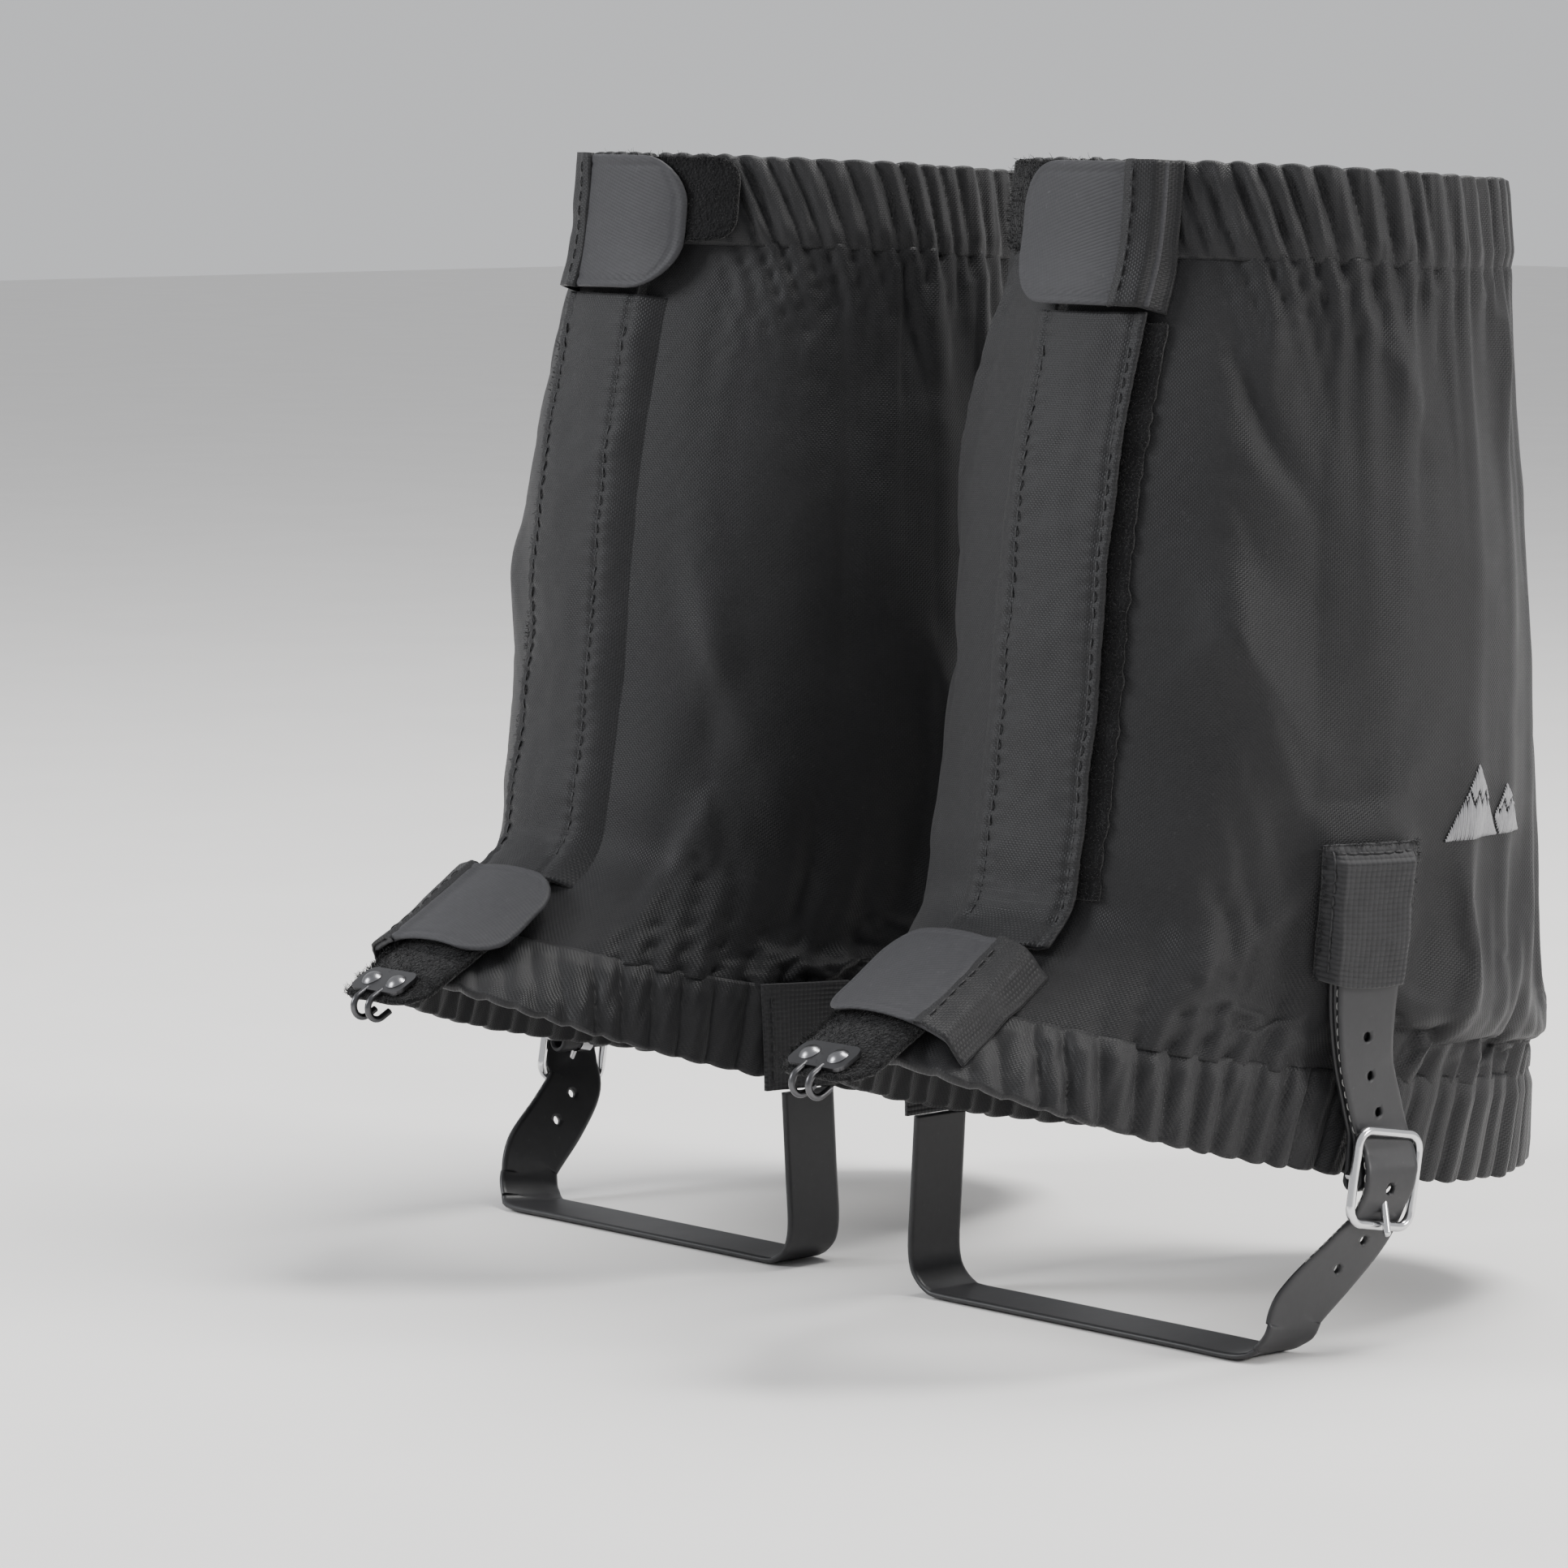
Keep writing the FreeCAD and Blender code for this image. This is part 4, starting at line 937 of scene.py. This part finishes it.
def plateOnForm(grid, centre, up, out, shiftX=0.0):
    def cast(r, c):
        origin = centre + np.array([grid[r, c, 0] + shiftX, 0, 0]) + up * grid[r, c, 1] + out * 0.02
        return castForm(origin, -out)

    return castGrid(*grid.shape[:2], cast)


tabGrids = {}
for name, tab in tabs.items():
    grid = plateGrid(tab["length"], tab["height"], tab["end"], 0.0006)
    tabGrids[name] = (grid, *plateOnForm(grid, tab["centre"], tab["up"], tab["out"], tab["shift"]))


def makeTab(side, name):
    tab = tabs[name]
    grid, base, normals = tabGrids[name]
    a, b = grid[..., 0], grid[..., 1]
    seed = seeds[side] + (20 if name == "top" else 30)
    border = np.minimum(tab["height"] / 2 - np.abs(b), a - grid[:, :1, 0])
    border = np.minimum(border, tab["length"] / 2 - a)
    bevel = 0.00045 * np.clip(1 - border / 0.0006, 0, 1) ** 2
    groove = 0.00022 * np.exp(-((border - 0.0022) / 0.00045) ** 2)
    bow = 0.0007 * np.cos(np.pi * a / tab["length"]) + fieldNoise(base, 60.0, seed) * 0.0005
    ridge = 0.0
    if name == "bottom":
        ridge = 0.0007 * np.exp(-((a - 0.010) / 0.0016) ** 2) + 0.0004 * np.clip((a - 0.010) / 0.004, 0, 1)
    outer = base + normals * (tab["stand"] + bow - bevel - groove + ridge)[..., None]
    inner = base + normals * (tab["stand"] - 0.0011 + bow + bevel)[..., None]
    diagonal = np.stack([a * 0.94 + b * 0.34, b * 0.94 - a * 0.34], 2)
    body, cuffName = side + "_" + name + "_tab", side + "_" + name + "_cuff"
    plate = slab(body + "_plate", outer, inner, side, diagonal)
    dressed(plate, paint["laminate"], body, [body])

    # hooks under the tab
    small = plateGrid(tab["length"] - 0.006, tab["height"] - 0.006, tab["end"] - 0.0015, 0.0012)
    smallBase, smallOut = plateOnForm(small, tab["centre"], tab["up"], tab["out"], tab["shift"])
    lower = tab["stand"] - 0.0012 + 0.0007 * np.cos(np.pi * small[..., 0] / tab["length"])[..., None]
    hooks = slab(body + "_hooks", smallBase + smallOut * lower, smallBase + smallOut * (lower - 0.0007),
                 side, small)
    dressed(hooks, paint["hook"], body, [body + "_hook"])

    # the sewn end: a folded band of cloth that turns down onto the gaiter
    bandUp = np.linspace(-tab["height"] / 2 - 0.0003, tab["height"] / 2 + 0.0003, 34)
    bandAcross = np.linspace(tab["band"], tabBand["end"], 30)
    bandGrid = np.stack(np.meshgrid(bandAcross, bandUp), 2)
    points, out = plateOnForm(bandGrid, tab["centre"], tab["up"], tab["out"])
    across, rise = bandGrid[..., 0], bandGrid[..., 1]
    turn = ease(np.clip((across - tabBand["turn"]) / tabBand["turnLength"], 0, 1))
    onCuff = np.clip((rise + 0.0075) / 0.007 if name == "top" else (0.0065 - rise) / 0.007, 0, 1)
    rest = tabBand["onShell"] + (tabBand["onCuff"] - tabBand["onShell"]) * ease(onCuff)
    swell = 0.0004 * np.sin(np.pi * np.clip((across - bandAcross[0]) / 0.008, 0, 1))
    level = (tab["stand"] + 0.0009 + swell) * (1 - turn) + rest * turn
    level += fieldNoise(points, 170.0, seed + 1) * 0.00035
    level += 0.0004 * np.exp(-((across - bandAcross[0] - 0.0018) / 0.001) ** 2)
    level -= 0.0004 * (across == bandAcross[0])
    front = points + out * level[..., None]
    back = points + out * (level - tabBand["thickness"])[..., None]
    band = slab(body + "_band", front, back, side, bandGrid)
    dressed(band, paint["shell"])
    _, high, far = tab["centre"]
    middle = toWorld(np.array([[0.0214, high, far], [0.0192, high, far]]), side)
    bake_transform(band)
    seam = stitchRow(body + "_stitches", front[2:-2, 6] + out[2:-2, 6] * 0.0001, out[2:-2, 6], side)
    dressed(seam, paint["thread"], body)


for side in sides:
    for name in tabs:
        makeTab(side, name)
print("tabs ready")

# loop faces under the tabs

loopFaces = {"patch": (0.032, 0.019, 0.005), "tongue": (0.030, 0.024, 0.008)}   # length, width, corner
patchGrid = plateGrid(*loopFaces["patch"], 0.0008)
patchBase, patchNormals = plateOnForm(patchGrid, np.array([0, -0.014, 0.2367]), tabs["top"]["up"],
                                      tabs["top"]["out"], -0.010)
tongueGrid = plateGrid(*loopFaces["tongue"], 0.0008)


def tonguePlace(r, c):
    # the tongue lies along the vamp, square to the tabs
    along, across = tongueGrid[r, c]
    spot = hemPoint + vampUp * (0.002 + along) + vampOut * 0.03
    return castForm(spot + np.array([across, 0, 0]), -vampOut)


tongueBase, tongueNormals = castGrid(*tongueGrid.shape[:2], tonguePlace)


def makeLoopFace(name, grid, base, normals, side, replaced, fibres, seed):
    lumps = fieldNoise(base, 500.0, seed) * 0.00025 + fieldNoise(base, 180.0, seed + 1) * 0.0002
    outer = base + normals * (0.0047 + lumps)[..., None]
    inner = base + normals * 0.0037
    face = slab(name, outer, inner, side, grid)
    dressed(face, paint["loop"], side + "_gaiter", replaced)
    rim = np.concatenate([outer[0], outer[-1], outer[:, 0], outer[:, -1]])
    rimNormals = np.concatenate([normals[0], normals[-1], normals[:, 0], normals[:, -1]])
    everywhere = fuzz(name + "_fuzz", outer, normals, side, fibres, seed, 0.0010)
    fringe = fuzz(name + "_fringe", rim, rimNormals, side, fibres // 3, seed + 5, 0.0015)
    for tufts in (everywhere, fringe):
        dressed(tufts, paint["loop"], side + "_gaiter")


for side in sides:
    makeLoopFace(side + "_top_loop_patch", patchGrid, patchBase, patchNormals, side,
                 [side + "_top_tab_loop_patch"], 1300, seeds[side] + 60)
    makeLoopFace(side + "_hook_tongue_face", tongueGrid, tongueBase, tongueNormals, side,
                 [side + "_lace_hook_tongue"], 2200, seeds[side] + 70)
print("loop faces ready")

# straps

strap = {
    "thickness": 0.0013,
    "chapeThickness": 0.0011,
    "twist": math.radians(14.5),        # the side of the gaiter faces a little forward at the keeper
    "holeRadius": 0.0011,
    "holePitch": 0.0084,
    "step": 0.0006,
    "across": 27,
    "barPlace": (0.0603, 0.033, 0.0345),            # where the tail crosses the buckle
    "sewnEnd": ((-0.0504, 0.009, 0.0394), (-0.0444, 0.009, 0.0314)),
}
# centre lines in mm: x, y, z and width
tailLine = [
    (59.3, 29.0, 89.0, 15.0), (58.1, 29.0, 82.0, 15.0), (57.1, 29.0, 72.0, 15.0),
    (56.85, 29.4, 62.0, 15.0), (56.6, 31.5, 54.0, 15.0), (56.75, 34.0, 46.6, 15.0),
    (58.9, 34.2, 41.6, 15.0), (60.35, 33.38, 38.0, 15.0), (60.35, 32.62, 34.0, 15.0),
    (58.9, 31.9, 30.2, 15.0), (56.75, 31.0, 25.4, 15.0), (54.6, 24.0, 18.5, 15.8),
    (52.6, 14.6, 10.6, 16.4), (51.71, 12.75, 5.8, 16.2), (49.9, 11.5, 3.1, 15.9),
    (47.2, 10.25, 1.29, 15.6), (44.0, 9.0, 0.65, 15.3), (30.0, 9.0, 0.65, 15.0),
    (10.0, 9.0, 0.65, 15.0), (-10.0, 9.0, 0.65, 15.0), (-30.0, 9.0, 0.65, 15.0),
    (-44.0, 9.0, 0.65, 15.0), (-47.2, 9.0, 1.29, 15.0), (-49.9, 9.0, 3.1, 15.0),
    (-51.71, 9.0, 5.8, 15.0), (-52.35, 9.0, 11.0, 15.0), (-51.6, 9.0, 22.0, 15.0),
    (-50.43, 9.0, 39.4, 15.0),
]
chapeLine = [
    (58.85, 29.0, 104.0, 15.0), (57.45, 29.0, 93.0, 15.0), (55.5, 29.0, 82.0, 15.0),
    (54.5, 29.2, 72.0, 15.0), (54.0, 30.4, 62.0, 15.0), (53.6, 33.0, 53.0, 15.0),
    (53.84, 34.6, 45.6, 15.0), (54.5, 33.6, 39.0, 15.0), (54.7, 33.0, 36.0, 15.0),
    (55.1, 32.8, 34.9, 15.0), (56.5, 32.69, 34.2, 15.0), (57.9, 32.8, 34.9, 15.0),
    (58.3, 33.0, 36.0, 15.0), (57.8, 33.6, 39.0, 15.0), (55.25, 34.6, 45.6, 15.0),
    (55.1, 33.0, 53.0, 15.0), (55.35, 30.4, 62.0, 15.0), (55.8, 29.2, 72.0, 15.0),
    (56.8, 29.0, 82.0, 15.0), (58.75, 29.0, 93.0, 15.0), (60.15, 29.0, 104.0, 15.0),
]


def ribbonGrid(line):
    # a dense strip along a centre line; the width runs square to the line, mostly front to back
    marks = np.array(line) * mm
    places = np.linspace(0, len(line) - 1, len(line) * 24)
    fine = through(marks, places)
    run = np.concatenate([[0], np.cumsum(np.linalg.norm(np.diff(fine[:, :3], axis=0), axis=1))])
    count = int(run[-1] / strap["step"])
    even = np.linspace(0, run[-1], count)
    centre = np.stack([np.interp(even, run, fine[:, i]) for i in range(4)], 1)
    along = np.gradient(centre[:, :3], axis=0)
    along /= np.linalg.norm(along, axis=1, keepdims=True)
    twist = strap["twist"] * np.clip((centre[:, 2] - 0.058) / 0.022, 0, 1) * (centre[:, 0] > 0)
    forward = np.stack([np.sin(twist), np.cos(twist), np.zeros(count)], 1)
    forward -= along * (forward * along).sum(1, keepdims=True)
    forward /= np.linalg.norm(forward, axis=1, keepdims=True)
    normal = np.cross(forward, along)
    across = strap["across"]
    share = np.linspace(-0.5, 0.5, across)
    grid = centre[:, None, :3] + forward[:, None] * (share[None, :, None] * centre[:, 3][:, None, None])
    return grid, np.repeat(normal[:, None], across, 1), even, share * 0.015


def holedStrip(name, grid, normals, run, width, side, thickness, holes, material):
    # the strip as a closed slab with punched holes; holes are (place along, place across, radius)
    rows, cols = grid.shape[:2]
    place = np.stack(np.meshgrid(width, run), 2)
    pulled = place.copy()
    for along, across, radius in holes:
        away = pulled - [across, along]
        far = np.linalg.norm(away, axis=2)
        near = (far < radius * 1.42) & (far > radius * 0.55)
        scale = np.where(near, radius / np.maximum(far, 1e-9), 1.0)
        pulled = np.array([across, along]) + away * scale[..., None]
    shift = pulled - place
    alongStep = np.gradient(grid, axis=0) / np.gradient(run)[:, None, None]
    acrossStep = np.gradient(grid, axis=1) / np.gradient(width)[None, :, None]
    grid = grid + alongStep * shift[..., 1:2] + acrossStep * shift[..., :1]
    edge = np.clip((np.abs(width) - (width[-1] - 0.0006)) / 0.0006, 0, 1)[None, :, None]
    edge = edge * thickness * 0.22      # rounded long edges
    outer, inner = grid + normals * (thickness / 2 - edge), grid - normals * (thickness / 2 - edge)
    kept = []
    for face in gridFaces(rows, cols):
        x, y = pulled.reshape(-1, 2)[list(face)].mean(0)
        if all(math.hypot(x - across, y - along) > radius * 0.93 for along, across, radius in holes):
            kept.append(face)
    count = rows * cols
    edges = {pair: True for face in kept for pair in zip(face, face[1:] + face[:1])}
    faces = kept + [tuple(count + i for i in reversed(face)) for face in kept]
    faces += [(b, a, count + a, count + b) for a, b in edges if (b, a) not in edges]
    obj = makeObject(name, np.concatenate([outer.reshape(-1, 3), inner.reshape(-1, 3)]), faces, side)
    clean = bmesh.new()
    clean.from_mesh(obj.data)
    bmesh.ops.delete(clean, geom=[v for v in clean.verts if not v.link_faces], context="VERTS")
    bmesh.ops.recalc_face_normals(clean, faces=clean.faces)
    clean.to_mesh(obj.data)
    clean.free()
    obj.data.materials.append(material)
    return obj


def makeStrap(side):
    seed = seeds[side]
    grid, normals, run, width = ribbonGrid(tailLine)
    wave = fieldNoise(grid, 45.0, seed + 90) * 0.0003
    # the tail waves a little, but not on the ground or in the buckle
    mask = np.clip((grid[:, :, 2] - 0.004) / 0.01, 0, 1)
    mask = mask * np.clip(np.abs(grid[:, :, 2] - 0.036) / 0.02 - 0.5, 0, 1)
    grid = grid + normals * (wave * mask)[..., None]
    middle = strap["across"] // 2
    outerHalf = grid[: len(run) // 2, middle]
    crossing = int(np.argmin(np.linalg.norm(outerHalf - strap["barPlace"], axis=1)))
    holes = [(run[crossing], 0.0, strap["holeRadius"] * 1.25)]
    holes += [(run[crossing] + pitch * strap["holePitch"], 0.0, strap["holeRadius"])
              for pitch in (-4.0, -3.0, -2.0, 1.5, 2.5)]
    obj = holedStrip(side + "_strap_band", grid, normals, run, width, side, strap["thickness"], holes,
                     paint["strap"])
    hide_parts(side + "_instep_strap")
    length = int(len(run) * 0.36)
    edgeLine, edgeOut = grid[6:length, 0], normals[6:length, 0]
    yarn = stitchRow(side + "_strap_core_yarn", edgeLine + edgeOut * strap["thickness"] * 0.1,
                     edgeOut, side, 0.0016, 0.0011, 0.00022)
    yarn.data.materials.append(paint["yarn"])
    sewn = toWorld(np.array(strap["sewnEnd"]), side)
    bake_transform(obj)
    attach(yarn, side + "_instep_strap")

    grid, normals, run, width = ribbonGrid(chapeLine)
    turn = float(run[int(np.argmin(grid[:, middle, 2]))])
    slot = [(turn, across, 0.0017) for across in (-0.0009, 0.0, 0.0009)]
    chape = holedStrip(side + "_chape_band", grid, normals, run, width, side, strap["chapeThickness"], slot,
                       paint["strap"])
    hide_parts(side + "_buckle_chape")
    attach(chape, side + "_gaiter")


for side in sides:
    makeStrap(side)
print("straps ready")

# keeper and anchor patches

keeper = {
    "y": 0.029,
    "width": 0.021,
    "low": 0.079,
    "high": 0.107,
    "thickness": 0.0012,
    "sewn": 0.0022,                     # height of its sewn edges over the form
    "sideWall": 0.0031,                 # run of the slopes up to the pocket's face
    "topWall": 0.0038,
    "face": (0.06005, 0.082, 0.17),     # x at a height, and the slope of the face
    "tailEnd": 0.0895,
    "tailStep": 0.0011,
}
anchor = {"ys": (-0.002, 0.020), "zs": (0.040, 0.064), "stand": 0.0046, "thickness": 0.0009}


def sidePoint(y, z, out, inner=False):
    # a place over the outer side of the form, or over its inner side, and the outward normal
    way = -1 if inner else 1
    hit, normal, _, _ = formTree.ray_cast(Vector((0.2 * way, y, z)), Vector((-way, 0, 0)))
    if normal.x * way <= 0:
        normal = -normal
    return np.array(hit + normal * out), np.array(normal)


def makePatches(side):
    seed = seeds[side] + 120
    half = keeper["width"] / 2
    faceX, faceZ, slope = keeper["face"]
    ys, zs = np.linspace(-half, half, 44), np.linspace(keeper["low"], keeper["high"], 56)

    def keeperPlace(r, c):
        z, offset = zs[r], ys[c]
        sag = 0.0012 * (1 - (offset / half) ** 2) * (1 - r / (len(zs) - 1))
        point, normal = sidePoint(keeper["y"] + offset, z - sag, 0.0)
        pocket = ease(np.clip((half - abs(offset)) / keeper["sideWall"], 0, 1))
        shut = ease(np.clip((keeper["high"] - z) / keeper["topWall"], 0, 1))
        flatX = faceX + (z - faceZ) * slope + offset * math.tan(strap["twist"])
        flatX -= keeper["tailStep"] * np.clip((z - keeper["tailEnd"]) / 0.005, 0, 1)
        lift = keeper["sewn"] + max(flatX - point[0] - keeper["sewn"], 0) * pocket * shut
        return point + normal * lift, normal

    outer, normals = castGrid(len(zs), len(ys), keeperPlace)
    flat = np.stack(np.meshgrid(ys, zs), 2)
    wobble = fieldNoise(outer, 220.0, seed) * 0.0003
    outer = outer + normals * wobble[..., None]
    patch = slab(side + "_keeper_webbing", outer, outer - normals * keeper["thickness"], side, flat)
    dressed(patch, paint["webbing"], side + "_gaiter", [side + "_keeper_patch"])
    border = [(outer[3:-2, 3], normals[3:-2, 3]), (outer[3:-2, -4], normals[3:-2, -4]),
              (outer[-4, 3:-3], normals[-4, 3:-3])]
    for index, (line, out) in enumerate(border):
        for repeat in (0, 1):
            seam = stitchRow(side + "_keeper_stitches_%d%d" % (index, repeat),
                             line + out * 0.0001 * (1 + repeat), out, side,
                             0.0019 + 0.0004 * repeat, 0.0005, 0.0003)
            dressed(seam, paint["thread"], side + "_gaiter")
    frayed = np.concatenate([outer[-1], outer[:, -1], outer[:, 0]])
    frayedOut = np.concatenate([normals[-1], normals[:, -1], normals[:, 0]])
    fringe = fuzz(side + "_keeper_fray", frayed, frayedOut, side, 420, seed, 0.0012, 0.00007)
    dressed(fringe, paint["thread"], side + "_gaiter")

    ys, zs = np.linspace(*anchor["ys"], 34), np.linspace(*anchor["zs"], 36)
    outer, normals = castGrid(len(zs), len(ys), lambda r, c: sidePoint(
        float(ys[c]), float(zs[r]), anchor["stand"], True))
    flat = np.stack(np.meshgrid(ys, zs), 2)
    wobble = fieldNoise(outer, 200.0, seed + 4) * 0.0002
    patch = slab(side + "_anchor_webbing", outer + normals * wobble[..., None],
                 outer - normals * anchor["thickness"], side, flat)
    dressed(patch, paint["webbing"], side + "_gaiter", [side + "_strap_anchor_patch"])
    for index, column in enumerate((3, -4)):
        seam = stitchRow(side + "_anchor_stitches_%d" % index, outer[2:-2, column], normals[2:-2, column],
                         side)
        dressed(seam, paint["thread"], side + "_gaiter")


for side in sides:
    makePatches(side)
print("patches ready")

# embroidered peaks

peaks = {
    "y": 0.066,
    "z": 0.105,
    "big": (-0.014, 0.0045, 0.016),     # left, right, top
    "small": (0.0005, 0.014, 0.0109),
    "gap": 0.00036,
    "radius": 0.00024,
}


def slopeOf(peak, at):
    left, right, top = peak
    return top * (1 - abs(at - (left + right) / 2) / ((right - left) / 2))


def satinFill(side):
    rng = np.random.default_rng(seeds[side] + 200)
    threads = []
    for peak in ("big", "small"):
        left, right, top = peaks[peak]
        at = left + 0.0004
        while at < right - 0.0003:
            high = slopeOf(peaks[peak], at)
            # the small peak stands behind the big one
            low = max(0.0, slopeOf(peaks["big"], at) + 0.0018) if peak == "small" else 0.0
            cap = top * 0.52 + 0.0011 * math.sin(at * 2300)     # the zigzag line of the snow
            pieces = [(low, min(high, cap)), (cap + 0.0009, high)] if high > cap + 0.0016 else [(low, high)]
            for start, end in pieces:
                if end - start > 0.0006:
                    threads.append((at, start, end, rng.uniform(-0.00012, 0.00012)))
            at += peaks["gap"]
    points, faces = [], []
    surface = shells[side]
    tree = BVHTree.FromPolygons([tuple(p) for p in surface.reshape(-1, 3)], gridFaces(*surface.shape[:2]))
    for at, start, end, tilt in threads:
        ends, out = [], None
        for up, lean in ((start, -tilt), (end, tilt)):
            origin = Vector((0.2, peaks["y"] + at + lean, peaks["z"] + up))
            hit, normal, _, _ = tree.ray_cast(origin, Vector((-1, 0, 0)))
            out = np.array(normal if normal.x > 0 else -normal)
            ends.append(np.array(hit) + out * 0.00055)
        more, moreFaces = capsule(ends[0], ends[1], out, peaks["radius"], 0.9)
        faces += [tuple(i + len(points) for i in face) for face in moreFaces]
        points += more
    motif = makeObject(side + "_satin_peaks", np.array(points), faces, side)
    closeNormals(motif)
    dressed(motif, paint["satin"], side + "_gaiter", [side + "_embroidered_peaks"])


for side in sides:
    satinFill(side)
print("embroidery ready")

# metal pieces keep the model's own shapes

metalFinish = {"buckle_frame": "chrome", "buckle_prong": "chrome", "lace_hook_plate": "blackened",
               "lace_hook_rivets": "rivet", "lace_hook_washers": "rivet"}
for side in sides:
    for node, finish in metalFinish.items():
        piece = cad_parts[side + "_" + node]
        piece.data.materials.clear()
        piece.data.materials.append(paint[finish])

# floor, light and camera

studio = {
    "lens": 143.1,
    "near": (0.9991, -0.9159, 0.2625),
    "tilt": 83.601,
    "turn": 47.487,
    "shift": -0.0377,
    "target": (0, 0.02, 0.12),
    "floorDark": (0.74, 0.73, 0.72),
    "floorLight": (0.80, 0.79, 0.78),
    "floorHalf": 6.0,
    "floorLevel": -0.0004,
}

floorEnds = (-studio["floorHalf"], studio["floorHalf"])
floorPoints = [(x, y, studio["floorLevel"]) for y in floorEnds for x in floorEnds]
floorMesh = bpy.data.meshes.new("floor")
floorMesh.from_pydata(floorPoints, [], [(0, 1, 3, 2)])
floor = addObject("floor", floorMesh)
floorLook = bpy.data.materials.new("floorFinish")
floorLook.use_nodes = True
floorTree = floorLook.node_tree
floorShader = floorTree.nodes["Principled BSDF"]
floorNoise = noiseNode(floorTree, floorTree.nodes.new("ShaderNodeTexCoord").outputs["Object"], 14.0, 5.0)
floorRamp = mixColours(floorTree, floorNoise, studio["floorDark"], studio["floorLight"])
floorTree.links.new(floorRamp.outputs["Result"], floorShader.inputs["Base Color"])
floorShader.inputs["Roughness"].default_value = 0.75
floor.data.materials.append(floorLook)


def addLamp(name, place, size, power, tint):
    lamp = bpy.data.lights.new(name, "AREA")
    lamp.shape = "SQUARE"
    lamp.size = size
    lamp.energy = power
    lamp.color = tint
    obj = addObject(name, lamp)
    obj.location = place
    obj.rotation_euler = (Vector(studio["target"]) - Vector(place)).to_track_quat("-Z", "Y").to_euler()


addLamp("overhead", (0.2, 0.5, 1.6), 0.8, 42, (1.0, 0.99, 0.97))
addLamp("leftSoft", (-0.9, -1.3, 1.0), 0.6, 24, (0.97, 0.98, 1.0))
addLamp("rightSoft", (1.7, 0.9, 0.9), 0.5, 24, (1.0, 0.98, 0.96))
world = bpy.data.worlds.new("studioWorld")
bpy.context.scene.world = world
world.use_nodes = True
world.node_tree.nodes["Background"].inputs["Color"].default_value = (0.90, 0.91, 0.93, 1)
world.node_tree.nodes["Background"].inputs["Strength"].default_value = 0.75

cameraData = bpy.data.cameras.new("camera")
cameraData.lens = studio["lens"]
cameraData.sensor_width = 36
cameraData.shift_x = studio["shift"]
camera = addObject("camera", cameraData)
camera.location = studio["near"]
camera.rotation_euler = (math.radians(studio["tilt"]), 0, math.radians(studio["turn"]))
bpy.context.scene.camera = camera

print("scene ready")
